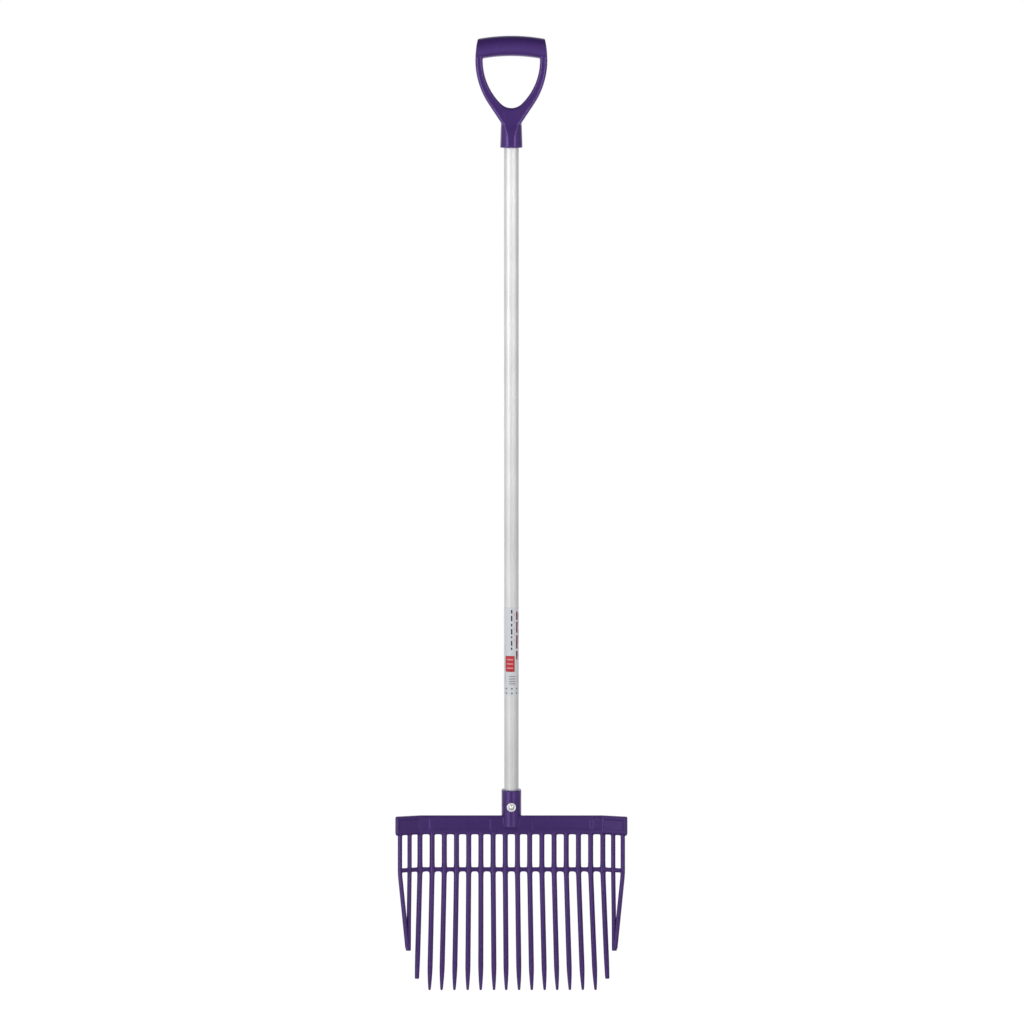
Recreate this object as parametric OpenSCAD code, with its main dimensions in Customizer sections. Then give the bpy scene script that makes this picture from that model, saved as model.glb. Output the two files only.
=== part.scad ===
// Manure fork: a wide moulded head of twenty close tines on an aluminium tube with a D-grip.
// Millimetres, +Z up along the tube, and the tines lean forwards, towards -Y.
// The origin is the hanging point, under the middle of the grip's bar.

/* [Tube] */
// Outside diameter of the tube
tube_d = 24; // [20:0.5:26]
// Wall of the tube
tube_wall = 1.5; // [1:0.1:2.5]
// Length of the tube
tube_len = 1130; // [800:1:1300]
// Length of the core that backs the tube behind the bolt
plug_len = 60; // [50:1:120]
// Gap all round between the tube and what it fits
fit_gap = 0.1; // [0.05:0.05:0.2]

/* [Grip] */
// Diameter of the arched bar
bar_d = 32.3; // [28:0.1:36]
// Radius of the bar's arch along its axis
bar_arch_r = 280; // [230:1:360]
// Width of the grip across the arms
grip_w = 114.7; // [108:0.1:122]
// Radius of the outer sides of the arms
grip_side_r = 124; // [115:1:135]
// Drop from the bar's underside to the widest place
grip_wide_drop = 6.6; // [3:0.1:10]
// Width of the hand opening
eye_w = 92; // [84:0.5:98]
// Height of the hand opening under the bar
eye_h = 82; // [74:0.5:88]
// Radius at the foot of the hand opening
eye_foot_r = 22.8; // [16:0.1:28]
// Depth of the arms from front to back
arm_depth = 21; // [18:0.5:24]
// Chamfer along the edges of the arms and the hand opening
arm_chamfer = 2.2; // [1:0.1:3.5]
// Height of the yoke between the hand opening and the neck
yoke_h = 23.2; // [20:0.1:28]
// Wall of the grip's socket at the neck
grip_neck_wall = 4.65; // [4:0.05:5.5]
// Wall of the grip's socket at its mouth
grip_mouth_wall = 5.9; // [5:0.1:8]
// Length of the grip's socket
grip_socket_len = 40; // [36:0.5:50]
// Length of the sloped flats that run from the yoke into the socket
grip_flat_len = 20; // [16:0.5:24]
// How far the tube goes into the grip
grip_insert = 29; // [20:0.5:30]
// Chamfer round the mouths of both sockets
mouth_chamfer = 1; // [0.5:0.1:1.5]

/* [Head] */
// How far the tube goes into the head
head_insert = 56; // [50:0.5:58]
// Wall of the head's socket
head_wall = 4.2; // [3.8:0.1:6]
// Length of the head's socket
head_socket_len = 61; // [59:0.5:66]
// Drop from the socket's rim to the top of the header
header_drop = 42.3; // [38:0.1:46]
// Height of the header
header_h = 31.3; // [27:0.1:36]
// Thickness of the header
header_t = 8; // [7.8:0.1:10]
// Distance of the header's middle plane in front of the tube's axis, at its top
header_setback = 5; // [3:0.1:7]
// Forward pitch of the header and the windows, in degrees
head_pitch = 8; // [4:0.5:12]
// Length of each forward wing
wing_len = 45.6; // [43:0.1:52]
// Angle of the wings to the header, in degrees
wing_angle = 35; // [25:1:45]
// Depth of the sunk panels on the front and back of the header
panel_depth = 1.4; // [0.6:0.1:2]
// Border of the header above and below the panels
panel_border = 5.4; // [4:0.1:7]
// Rib between two panels
panel_rib = 3; // [2:0.1:5]
// Plain length of the header beside the socket
panel_clear = 17; // [14:0.5:24]

/* [Tines] */
// Number of straight tines between the wings, an even number
tine_count = 16; // [12:2:18]
// Spacing of the straight tines
tine_pitch = 20; // [18:0.1:24]
// Diameter of a straight tine
tine_d = 7.6; // [6:0.1:9]
// Swell of a tine where it passes the rail
tine_swell = 0.4; // [0.3:0.05:0.8]
// Diameter of a pointed tip
tip_d = 4; // [3:0.1:5]
// Length of the taper to the tip
tip_len = 25; // [15:0.5:40]
// Diameter of the blunt tip of the two outermost straight tines
blunt_tip_d = 6; // [5:0.1:7]
// Height of the windows between the header and the rail
window_h = 53.5; // [40:0.5:70]
// Height of the rail
rail_h = 7.3; // [5:0.1:10]
// Thickness of the rail
rail_t = 5.5; // [4:0.1:7]
// Length of a pointed tine below the rail
tine_reach = 193; // [150:0.5:230]
// Length of a blunt tine below the rail
blunt_reach = 174.5; // [140:0.5:200]
// Radius of the tines' forward curve
tine_curve_r = 620; // [450:5:900]
// Sideways spread of the tips, as a share of their distance from the middle
spread_share = 0.035; // [0:0.005:0.06]
// Spacing of the two tines on each wing
wing_tine_pitch = 19.5; // [17:0.1:21]
// Diameter of a wing tine
wing_tine_d = 6.4; // [5:0.1:7.5]
// Diameter of the foot that joins the two wing tines
wing_foot_d = 9; // [8:0.1:10]
// Length of the inner wing tine below the rail
wing_reach = 127.5; // [90:0.5:140]
// Drop from the rail to the bend of the outer wing tine
brace_drop = 2; // [1:0.1:6]

/* [Bolt] */
// Diameter of the bolt
bolt_d = 5; // [4:0.5:6]
// Length of the bolt under its head
bolt_len = 40; // [37:1:50]
// Diameter of the bolt's domed head
bolt_head_d = 9.5; // [8:0.1:11]
// Height of the bolt's domed head
bolt_head_h = 2.75; // [2:0.05:3.5]
// Width across the flats of the key recess
bolt_key = 3; // [2.5:0.5:4]
// Depth of the key recess
bolt_key_depth = 1.7; // [1:0.1:1.9]
// Drop from the head socket's rim to the bolt
bolt_drop = 27; // [20:0.5:30]
// Diameter of the two washers
washer_d = 15; // [12:0.5:16]
// Thickness of the two washers
washer_t = 1.2; // [0.8:0.1:1.6]
// Width across the flats of the lock nut
nut_key = 8; // [7.5:0.5:10]
// Height of the hexagon of the lock nut
nut_hex_h = 3.4; // [2.5:0.1:4.5]
// Height of the collar on the lock nut
nut_collar_h = 1.6; // [1.2:0.1:2.2]
// Wall of the collar on the lock nut
nut_collar_wall = 0.5; // [0.3:0.05:0.7]
// Thickness of the nylon ring from bore to rim
ring_wall = 0.6; // [0.4:0.05:0.7]
// Gap all round a bolt or washer in its hole or seat
bolt_gap = 0.25; // [0.1:0.05:0.5]
// Gap all round a thread in what holds it
thread_gap = 0.05; // [0.02:0.01:0.1]

/* [Grip screw] */
// Diameter of the grip screw
screw_d = 3.9; // [3:0.1:4.5]
// Length of the grip screw under its head
screw_len = 13; // [10:0.5:16]
// Diameter of the grip screw's head
screw_head_d = 7.6; // [6:0.1:9]
// Height of the grip screw's head
screw_head_h = 2.4; // [1.8:0.1:3]
// Height of the grip screw above the mouth of the grip's socket
screw_rise = 13; // [10:0.5:17]
// Size of the cross recess in the grip screw
screw_cross = 4; // [3:0.1:4.5]
// Width of a slot of the cross recess
screw_slot = 1; // [0.6:0.1:1.2]
// Depth of the cross recess
screw_cross_depth = 1.4; // [0.8:0.1:1.6]

/* [Label] */
// Length of the label along the tube
label_len = 145; // [100:1:180]
// Height of the label's lower edge above the head's rim
label_rise = 158.4; // [60:0.1:300]
// Thickness of the label's film
label_t = 0.25; // [0.2:0.05:0.4]
// Thickness of the adhesive under the film
label_glue = 0.1; // [0.05:0.05:0.2]
// Open seam at the back of the label
label_seam = 2; // [1:0.1:5]

/* [Hidden] */
$fn = 64;
// Facets of a full turn at the radius of the large arcs
arc_fn = 720;
// Overrun of a cut past the face that it opens
overrun = 2;
// Share of the header's lower border that a tine's root runs up into
root_share = 0.7;
// Share of a tine's swell that is left free where its two lengths meet
swell_gap_share = 0.5;
// Ledge all round where the taper of a tine starts
tip_ledge = 0.2;
// How far the taper runs back inside the tine
tip_lap = 1;
// Size of the round at a tip, as a share of the end of its taper
tip_round_share = 1.04;
// How far the bar's ends lie inside the outer sides of the arms
bar_end_inset = 0.5;
// Height of the arms inside the bar, outside and inside, as shares of the bar's diameter
arm_top_share = 0.62;
eye_top_share = 0.3;
// Length of the yoke's straight sides past the neck, as a share of their length
neck_over_share = 1.2;
// Depth at which the sloped flats end inside the yoke, as a share of the arms' depth
flat_end_share = 0.8;
// Steps along the arcs and along the straight sides of the arms
arc_steps = 12;
foot_steps = 6;

// Levels down the tube's axis
neck_z = -eye_h - yoke_h;
mouth_z = neck_z - grip_socket_len;
tube_top_z = mouth_z + grip_insert;
tube_foot_z = tube_top_z - tube_len;
head_rim_z = tube_foot_z + head_insert;
header_top_z = head_rim_z - header_drop;
bolt_z = head_rim_z - bolt_drop;
screw_z = mouth_z + screw_rise;

// Fits round the tube
tube_id = tube_d - 2 * tube_wall;
bore_d = tube_d + 2 * fit_gap;
plug_d = tube_id - 2 * fit_gap;
head_socket_d = bore_d + 2 * head_wall;
grip_neck_d = bore_d + 2 * grip_neck_wall;
grip_mouth_d = bore_d + 2 * grip_mouth_wall;

// Hand opening: each side is an arc that runs tangent into the arc of the foot
eye_drop = eye_h - grip_wide_drop;
eye_side_r = (eye_drop * (eye_drop - 2 * eye_foot_r) + eye_w * eye_w / 4) / (eye_w - 2 * eye_foot_r);
eye_side_x = eye_side_r - eye_w / 2;
eye_foot_z = eye_foot_r - eye_h;
eye_join_z = -grip_wide_drop + (eye_foot_z + grip_wide_drop) * eye_side_r / (eye_side_r - eye_foot_r);

// Outer sides of the arms: an arc, then a straight line that leaves it tangent and ends at the neck
grip_side_x = grip_side_r - grip_w / 2;
neck_run = [grip_neck_d / 2 + grip_side_x, neck_z + grip_wide_drop];
neck_far = norm(neck_run);
neck_line = sqrt(max(neck_far * neck_far - grip_side_r * grip_side_r, 0));
neck_turn = atan2(-neck_run[1], -neck_run[0]) - atan2(grip_side_r, neck_line);
yoke_top = [grip_neck_d / 2 + neck_line * cos(neck_turn), neck_z + neck_line * sin(neck_turn)];
bar_axis_z = bar_d / 2 - bar_arch_r;
bar_turn = asin(min(grip_w / 2 / bar_arch_r, 1));

// Head: the wings bend at the outermost straight tines
bend_x = (tine_count - 1) * tine_pitch / 2;
rail_top = header_h + window_h;
rail_mid = rail_top + rail_h / 2;
root_depth = panel_border * root_share;
tine_gap = sqrt(pow(tine_d / 2 + tine_swell, 2) - pow(tine_d / 2, 2)) * swell_gap_share;
wing_swell_d = wing_tine_d + 2 * tine_swell;

// Seats of the washers on the round of the socket, and the screw's seat on the grip
seat_d = washer_d + 2 * bolt_gap;
seat_y = sqrt(pow(head_socket_d / 2, 2) - pow(seat_d / 2, 2));
bolt_seat_y = seat_y + washer_t;
bolt_hole_d = bolt_d + 2 * bolt_gap;
thread_hole_d = bolt_d + 2 * thread_gap;
ring_d = thread_hole_d + 2 * ring_wall;
collar_d = ring_d + 2 * thread_gap + 2 * nut_collar_wall;
nut_h = nut_hex_h + nut_collar_h;
screw_seat_d = screw_head_d + 2 * bolt_gap;
screw_round_r = grip_mouth_d / 2 - (grip_mouth_d - grip_neck_d) / 2 * screw_rise / grip_socket_len;
screw_seat_y = sqrt(pow(screw_round_r, 2) - pow(screw_seat_d / 2, 2));
screw_hole_d = screw_d + 2 * thread_gap;

purple = [0.29, 0.19, 0.44];
aluminium = [0.80, 0.81, 0.83];
zinc = [0.70, 0.70, 0.72];
nylon = [0.90, 0.90, 0.86];
birch = [0.80, 0.69, 0.50];
film = [0.95, 0.94, 0.92];

// Angle of the tines' curve over a length
function curve_turn(len) = len / tine_curve_r * 180 / PI;

// End of a curve that starts at the rail at the point p, turned sideways by lean
function curve_end(p, lean, turn) =
    let (drop = tine_gap + tine_curve_r * sin(turn))
    [
        p[0] - drop * sin(lean),
        p[1] - tine_curve_r * (1 - cos(turn)),
        p[2] - drop * cos(lean)
    ];

// Place along the right wing, at the height z of the head's frame
function wing_place(s, z) = [bend_x + s * cos(wing_angle), -s * sin(wing_angle), z];

// Plan outline of a bar of thickness t that bends forwards into both wings
function bent_half(t, len) =
    let (
        e = wing_place(len, 0),
        n = [sin(wing_angle) * t / 2, cos(wing_angle) * t / 2],
        m = t / 2 * tan(wing_angle / 2)
    )
    [[bend_x - m, -t / 2], [e[0] - n[0], e[1] - n[1]], [e[0] + n[0], e[1] + n[1]], [bend_x + m, t / 2]];

// Round rod from a to b
module rod(a, b, d) {
    v = b - a;
    translate(a)
        rotate([0, acos(v[2] / norm(v)), atan2(v[1], v[0])])
            cylinder(d = d, h = norm(v));
}

// Children on both sides of the middle plane
module both_sides() {
    children();
    mirror([1, 0, 0])
        children();
}

// Children in the head's pitched frame: Z = 0 at the top of the header, Y = 0 in its middle plane
module in_head() {
    translate([0, -header_setback, header_top_z])
        rotate([-head_pitch, 0, 0])
            children();
}

// Children along the bolt: their +Z points out of the front
module along_bolt() {
    translate([0, 0, bolt_z])
        rotate([90, 0, 0])
            children();
}

// Children along the grip screw: their +Z points out of the back
module along_screw() {
    translate([0, 0, screw_z])
        rotate([-90, 0, 0])
            children();
}

// Flat bar of thickness t and height h that hangs from the height z and bends into both wings
module bent_bar(t, h, z, len) {
    half = bent_half(t, len);
    back = [for (i = [3:-1:0]) [-half[i][0], half[i][1]]];
    translate([0, 0, z - h])
        linear_extrude(height = h)
            polygon(concat(half, back));
}

// Lower length of a tine: a curve forwards, then a taper with a round end, hung at the point p
module tine_curve(p, d, lean, turn) {
    translate(p)
        rotate([0, lean, 0])
            translate([0, -tine_curve_r, -tine_gap])
                rotate([-90, 0, 90])
                    rotate_extrude(angle = turn, $fn = arc_fn)
                        translate([tine_curve_r, 0])
                            circle(d = d, $fn = 32);
}

// Taper at the end of a tine, along the last direction of its curve
module tine_tip(p, lean, turn, end_d) {
    translate(curve_end(p, lean, turn))
        rotate([0, lean, 0])
            rotate([-turn, 0, 0])
                translate([0, 0, -tip_len]) {
                    cylinder(d1 = end_d, d2 = tine_d - 2 * tip_ledge, h = tip_len + tip_lap);
                    sphere(d = end_d * tip_round_share);
                }
}

// Straight tine at x: parallel to the rest down to the rail, then spread sideways and curved forwards
module tine(x, reach, end_d) {
    p = [x, 0, -rail_mid];
    lean = -atan2(spread_share * x, tine_reach);
    turn = curve_turn(reach + rail_h / 2 - tine_gap - tip_len - end_d / 2);
    translate([x, 0, -rail_mid + tine_gap])
        cylinder(d = tine_d, h = rail_mid - tine_gap - header_h + root_depth);
    translate(p)
        sphere(d = tine_d + 2 * tine_swell);
    tine_curve(p, tine_d, lean, turn);
    tine_tip(p, lean, turn, end_d);
}

// Pair of tines on the right wing, joined at one foot
module wing_pair() {
    inner = wing_place(wing_tine_pitch, -rail_mid);
    outer = wing_place(2 * wing_tine_pitch, -rail_top - rail_h - brace_drop);
    lean = -atan2(spread_share * bend_x, tine_reach);
    turn = curve_turn(wing_reach + rail_h / 2 - tine_gap - wing_foot_d / 2);
    foot = curve_end(inner, lean, turn);
    translate([inner[0], inner[1], -rail_mid + tine_gap])
        cylinder(d = wing_tine_d, h = rail_mid - tine_gap - header_h + root_depth);
    translate(inner)
        sphere(d = wing_swell_d);
    tine_curve(inner, wing_tine_d, lean, turn);
    translate(foot)
        sphere(d = wing_foot_d);
    translate([outer[0], outer[1], outer[2] + tine_gap])
        cylinder(d = wing_tine_d, h = -outer[2] - tine_gap - header_h + root_depth);
    translate(outer)
        sphere(d = wing_swell_d);
    rod(outer + (foot - outer) * tine_gap / norm(foot - outer), foot, wing_tine_d);
}

// Sunk panel from x0 to x1 on one face of a flat bar
module panel(x0, x1, face) {
    y0 = face > 0 ? header_t / 2 - panel_depth : -header_t / 2 - overrun;
    translate([x0, y0, -header_h + panel_border])
        cube([x1 - x0, panel_depth + overrun, header_h - 2 * panel_border]);
}

// Sunk panels of the right half of the header and of its wing
module panels() {
    split_x = bend_x - tine_pitch;
    for (face = [-1, 1]) {
        panel(head_socket_d / 2 + panel_clear, split_x, face);
        panel(split_x + panel_rib, bend_x - panel_rib, face);
        translate([bend_x, 0, 0])
            rotate([0, 0, -wing_angle])
                panel(panel_rib, wing_len - panel_rib, face);
    }
}

// Saddle behind the header that carries the socket's back
module saddle() {
    wide = head_socket_d / 2 + panel_clear - panel_rib;
    translate([0, 0, -header_h + panel_border])
        linear_extrude(height = header_h - 2 * panel_border)
            polygon([
                [-wide, 0],
                [wide, 0],
                [head_socket_d / 4, header_setback + head_socket_d / 2 - head_wall / 2],
                [-head_socket_d / 4, header_setback + head_socket_d / 2 - head_wall / 2]
            ]);
}

// Round outside of the head's socket, with a chamfered rim
module head_socket() {
    r = head_socket_d / 2;
    translate([0, 0, head_rim_z])
        rotate_extrude()
            polygon([
                [0, -head_socket_len],
                [r - mouth_chamfer, -head_socket_len],
                [r, -head_socket_len + mouth_chamfer],
                [r, -mouth_chamfer],
                [r - mouth_chamfer, 0],
                [0, 0]
            ]);
}

module fork_head() {
    color(purple)
        difference() {
            union() {
                in_head() {
                    difference() {
                        bent_bar(header_t, header_h, 0, wing_len);
                        both_sides()
                            panels();
                    }
                    bent_bar(rail_t, rail_h, -rail_top, 2 * wing_tine_pitch);
                    for (i = [1:tine_count - 2])
                        tine((i - (tine_count - 1) / 2) * tine_pitch, tine_reach, tip_d);
                    both_sides()
                        tine(bend_x, blunt_reach, blunt_tip_d);
                    both_sides()
                        wing_pair();
                    saddle();
                }
                head_socket();
            }
            translate([0, 0, tube_foot_z])
                cylinder(d = bore_d, h = head_insert + overrun);
            along_bolt() {
                cylinder(d = bolt_hole_d, h = 2 * head_socket_d, center = true);
                translate([0, 0, seat_y])
                    cylinder(d = seat_d, h = head_wall + overrun);
                translate([0, 0, -seat_y - head_wall - overrun])
                    cylinder(d = seat_d, h = head_wall + overrun);
            }
        }
}

module shaft_tube() {
    color(aluminium)
        difference() {
            translate([0, 0, tube_foot_z])
                cylinder(d = tube_d, h = tube_len);
            translate([0, 0, tube_foot_z - overrun])
                cylinder(d = tube_id, h = tube_len + 2 * overrun);
            along_bolt()
                cylinder(d = bolt_hole_d, h = 2 * tube_d, center = true);
            along_screw()
                cylinder(d = screw_hole_d, h = tube_d);
        }
}

// Point on the circle of radius r about [-x, -grip_wide_drop], at the angle a
function side_point(r, x, a) = [r * cos(a) - x, r * sin(a) - grip_wide_drop];

// Angle on such a circle at the height z
function side_angle(r, z) = asin((z + grip_wide_drop) / r);

// Right half of the outside of the arms and yoke, from the top down to the middle of the foot
function outer_half() =
    let (
        top = side_angle(grip_side_r, bar_d * arm_top_share),
        low = side_angle(grip_side_r, yoke_top[1]),
        end = yoke_top + ([grip_neck_d / 2, neck_z] - yoke_top) * neck_over_share
    )
    concat(
        [for (k = [0:arc_steps]) side_point(grip_side_r, grip_side_x, top + (low - top) * k / arc_steps)],
        [for (k = [1:foot_steps - 1]) yoke_top + (end - yoke_top) * k / (foot_steps - 1)],
        [[0, end[1]]]
    );

// Right half of the hand opening, point for point beside the outside
function eye_half() =
    let (
        top = side_angle(eye_side_r, bar_d * eye_top_share),
        low = side_angle(eye_side_r, eye_join_z)
    )
    concat(
        [for (k = [0:arc_steps]) side_point(eye_side_r, eye_side_x, top + (low - top) * k / arc_steps)],
        [
            for (k = [1:foot_steps])
                let (a = low + (-90 - low) * k / foot_steps)
                [eye_foot_r * cos(a), eye_foot_z + eye_foot_r * sin(a)]
        ]
    );

// Closed round of a half outline: down the right side and up the left, with a middle point at the top
function whole_round(half) =
    concat(
        [[0, half[0][1]]],
        half,
        [for (i = [len(half) - 2:-1:0]) [-half[i][0], half[i][1]]]
    );

// Section of the arm between the outside point o and the opening's point e, with chamfered edges
function arm_section(o, e) =
    let (
        c = (e - o) * arm_chamfer / norm(e - o),
        y = arm_depth / 2,
        f = arm_depth / 2 - arm_chamfer
    )
    [
        for (q = [[o + c, -y], [o, -f], [o, f], [o + c, y], [e - c, y], [e, f], [e, -f], [e - c, -y]])
            [q[0][0], q[1], q[0][1]]
    ];

// Arms and yoke: one ring of sections round the hand opening
module grip_plate() {
    outside = whole_round(outer_half());
    inside = whole_round(eye_half());
    count = len(outside);
    sides = len(arm_section(outside[0], inside[0]));
    polyhedron(
        points = [for (i = [0:count - 1]) each arm_section(outside[i], inside[i])],
        faces = [
            for (i = [0:count - 1], k = [0:sides - 1])
                let (
                    i2 = (i + 1) % count * sides,
                    k2 = (k + 1) % sides
                )
                each [
                    [i * sides + k, i2 + k2, i2 + k],
                    [i * sides + k, i * sides + k2, i2 + k2]
                ]
        ]
    );
}

// Arched bar, cut at its ends just inside the outer sides of the arms
module grip_bar() {
    intersection() {
        translate([0, 0, bar_axis_z])
            rotate([90, 0, 0])
                rotate([0, 0, 90 - bar_turn])
                    rotate_extrude(angle = 2 * bar_turn, $fn = arc_fn)
                        translate([bar_arch_r, 0])
                            circle(d = bar_d, $fn = 64);
        intersection_for (x = [-grip_side_x, grip_side_x])
            translate([x, 0, -grip_wide_drop])
                rotate([90, 0, 0])
                    cylinder(r = grip_side_r - bar_end_inset, h = 2 * bar_d, center = true, $fn = arc_fn);
    }
}

// Grip's socket: a slow cone to the mouth, cut to the depth of the yoke by sloped flats
module grip_socket() {
    neck_r = grip_neck_d / 2;
    mouth_r = grip_mouth_d / 2;
    flat_rise = grip_flat_len * (1 - flat_end_share) * arm_depth / (grip_mouth_d - arm_depth);
    intersection() {
        rotate_extrude()
            polygon([
                [0, mouth_z],
                [mouth_r - mouth_chamfer, mouth_z],
                [mouth_r, mouth_z + mouth_chamfer],
                [neck_r, neck_z],
                [0, neck_z + yoke_h / 2]
            ]);
        rotate([90, 0, 90])
            linear_extrude(height = 2 * grip_mouth_d, center = true)
                polygon([
                    [-mouth_r, mouth_z],
                    [mouth_r, mouth_z],
                    [mouth_r, neck_z - grip_flat_len],
                    [arm_depth / 2 * flat_end_share, neck_z + flat_rise],
                    [-arm_depth / 2 * flat_end_share, neck_z + flat_rise],
                    [-mouth_r, neck_z - grip_flat_len]
                ]);
    }
}

module d_grip() {
    color(purple)
        difference() {
            union() {
                grip_plate();
                grip_bar();
                grip_socket();
            }
            translate([0, 0, mouth_z - overrun])
                cylinder(d = bore_d, h = grip_insert + overrun);
            along_screw() {
                cylinder(d = screw_hole_d, h = grip_mouth_d);
                translate([0, 0, screw_seat_y])
                    cylinder(d = screw_seat_d, h = grip_mouth_wall + overrun);
            }
        }
}

module head_bolt() {
    dome_r = (pow(bolt_head_d / 2, 2) + pow(bolt_head_h, 2)) / (2 * bolt_head_h);
    color(zinc)
        along_bolt() {
            translate([0, 0, bolt_seat_y - bolt_len])
                cylinder(d = bolt_d, h = bolt_len + (bolt_head_h - bolt_key_depth) / 2);
            difference() {
                intersection() {
                    translate([0, 0, bolt_seat_y + bolt_head_h - dome_r])
                        sphere(r = dome_r);
                    translate([0, 0, bolt_seat_y])
                        cylinder(d = bolt_head_d + 2 * overrun, h = bolt_head_h + overrun);
                }
                translate([0, 0, bolt_seat_y + bolt_head_h - bolt_key_depth])
                    cylinder(d = bolt_key / cos(30), h = bolt_key_depth + overrun, $fn = 6);
            }
        }
}

// Washer whose inner face lies at the height z along the bolt
module washer(z) {
    along_bolt()
        translate([0, 0, z])
            difference() {
                cylinder(d = washer_d, h = washer_t);
                translate([0, 0, -overrun])
                    cylinder(d = bolt_hole_d, h = washer_t + 2 * overrun);
            }
}

module bolt_washer_front() {
    color(zinc)
        washer(seat_y);
}

module bolt_washer_rear() {
    color(zinc)
        washer(-seat_y - washer_t);
}

module lock_nut() {
    color(zinc)
        along_bolt()
            translate([0, 0, -bolt_seat_y - nut_h])
                difference() {
                    union() {
                        translate([0, 0, nut_collar_h])
                            cylinder(d = nut_key / cos(30), h = nut_hex_h, $fn = 6);
                        cylinder(d = collar_d, h = nut_h);
                    }
                    translate([0, 0, -overrun])
                        cylinder(d = thread_hole_d, h = nut_h + 2 * overrun);
                    translate([0, 0, -overrun])
                        cylinder(d = ring_d + 2 * thread_gap, h = nut_collar_h + overrun);
                }
}

module lock_nut_ring() {
    color(nylon)
        along_bolt()
            translate([0, 0, -bolt_seat_y - nut_h])
                difference() {
                    cylinder(d = ring_d, h = nut_collar_h);
                    translate([0, 0, -overrun])
                        cylinder(d = thread_hole_d, h = nut_collar_h + 2 * overrun);
                }
}

module shaft_plug() {
    color(birch)
        difference() {
            translate([0, 0, tube_foot_z])
                cylinder(d = plug_d, h = plug_len);
            along_bolt()
                cylinder(d = bolt_hole_d, h = 2 * tube_d, center = true);
        }
}

module grip_screw() {
    color(zinc)
        along_screw() {
            translate([0, 0, screw_seat_y - screw_len])
                cylinder(d = screw_d, h = screw_len + (screw_head_h - screw_cross_depth) / 2);
            difference() {
                translate([0, 0, screw_seat_y])
                    cylinder(d1 = screw_head_d, d2 = (screw_head_d + screw_cross) / 2, h = screw_head_h);
                translate([0, 0, screw_seat_y + screw_head_h - screw_cross_depth])
                    for (turn = [0, 90])
                        rotate([0, 0, turn])
                            translate([-screw_cross / 2, -screw_slot / 2, 0])
                                cube([screw_cross, screw_slot, screw_cross_depth + overrun]);
            }
        }
}

// Film round the tube, with its open seam at the back
module shaft_label() {
    open_turn = label_seam / (PI * tube_d) * 360;
    color(film)
        translate([0, 0, head_rim_z + label_rise])
            rotate([0, 0, 90 + open_turn / 2])
                rotate_extrude(angle = 360 - open_turn)
                    translate([tube_d / 2 + label_glue, 0])
                        square([label_t, label_len]);
}

fork_head();
shaft_tube();
d_grip();
head_bolt();
bolt_washer_front();
bolt_washer_rear();
lock_nut();
lock_nut_ring();
shaft_plug();
grip_screw();
shaft_label();
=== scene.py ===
"""Finished surfaces, materials and studio of a manure fork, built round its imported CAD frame.

Sizes are in millimetres in the fork's own frame: +Z runs up along the tube, the tines curve towards
-Y, and the origin is the hanging point under the middle of the grip's bar. A mesh is scaled to metres
when it is made.
"""

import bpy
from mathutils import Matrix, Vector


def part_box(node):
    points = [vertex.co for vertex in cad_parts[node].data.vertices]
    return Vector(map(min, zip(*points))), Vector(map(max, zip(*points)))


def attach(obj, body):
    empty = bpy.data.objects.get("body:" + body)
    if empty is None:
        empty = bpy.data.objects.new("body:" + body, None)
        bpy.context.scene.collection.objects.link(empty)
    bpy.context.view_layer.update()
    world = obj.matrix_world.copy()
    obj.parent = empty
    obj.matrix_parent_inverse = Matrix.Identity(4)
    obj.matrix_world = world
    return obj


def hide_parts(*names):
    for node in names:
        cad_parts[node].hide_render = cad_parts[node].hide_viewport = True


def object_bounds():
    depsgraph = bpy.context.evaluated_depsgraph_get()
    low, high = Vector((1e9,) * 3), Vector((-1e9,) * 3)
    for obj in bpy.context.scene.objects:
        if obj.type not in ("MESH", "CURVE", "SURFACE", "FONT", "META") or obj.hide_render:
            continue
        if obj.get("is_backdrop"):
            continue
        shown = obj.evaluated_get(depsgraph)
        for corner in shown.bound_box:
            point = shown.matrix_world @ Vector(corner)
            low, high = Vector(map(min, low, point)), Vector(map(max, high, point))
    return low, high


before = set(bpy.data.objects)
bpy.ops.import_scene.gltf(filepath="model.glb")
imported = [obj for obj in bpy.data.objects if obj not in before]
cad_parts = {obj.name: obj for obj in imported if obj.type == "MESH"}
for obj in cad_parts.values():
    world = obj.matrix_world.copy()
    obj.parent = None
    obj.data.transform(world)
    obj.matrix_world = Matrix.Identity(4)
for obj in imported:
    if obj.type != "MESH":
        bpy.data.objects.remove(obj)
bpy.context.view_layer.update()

import logging
import math
from dataclasses import dataclass, field
from enum import Enum

import bpy
import numpy as np

LOG = logging.getLogger("manure_fork")
MM = 0.001
BODY = "root"
SHARP_ANGLE = math.radians(38)
WHITE = "#FFFFFF"

# Most values of a noise texture lie between these two.
NOISE_LOW, NOISE_HIGH = 0.3, 0.7
# Colour sockets of a Mix node go by number, because its other kinds of socket share their names.
COLOUR_A, COLOUR_B, COLOUR_OUT = 6, 7, 2
# A length too small to see, which keeps neighbouring rings apart.
HAIR = 0.05
# How far before its end the last ring of a tine stands; a fan closes the rest.
TIP_GAP = 0.01
# Radius of the last ring on a socket's end face; a fan closes the rest.
FAN_R = 2.0
# The fans of a surface that has none.
NO_FANS = np.zeros((0, 3), int)

Colour = tuple[float, float, float, float]


class Side(Enum):
    """The two halves of the head and grip, as the sign of X."""

    LEFT = -1
    RIGHT = 1


class Tip(Enum):
    """How a straight tine ends."""

    POINTED = "pointed"
    BLUNT = "blunt"


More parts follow.
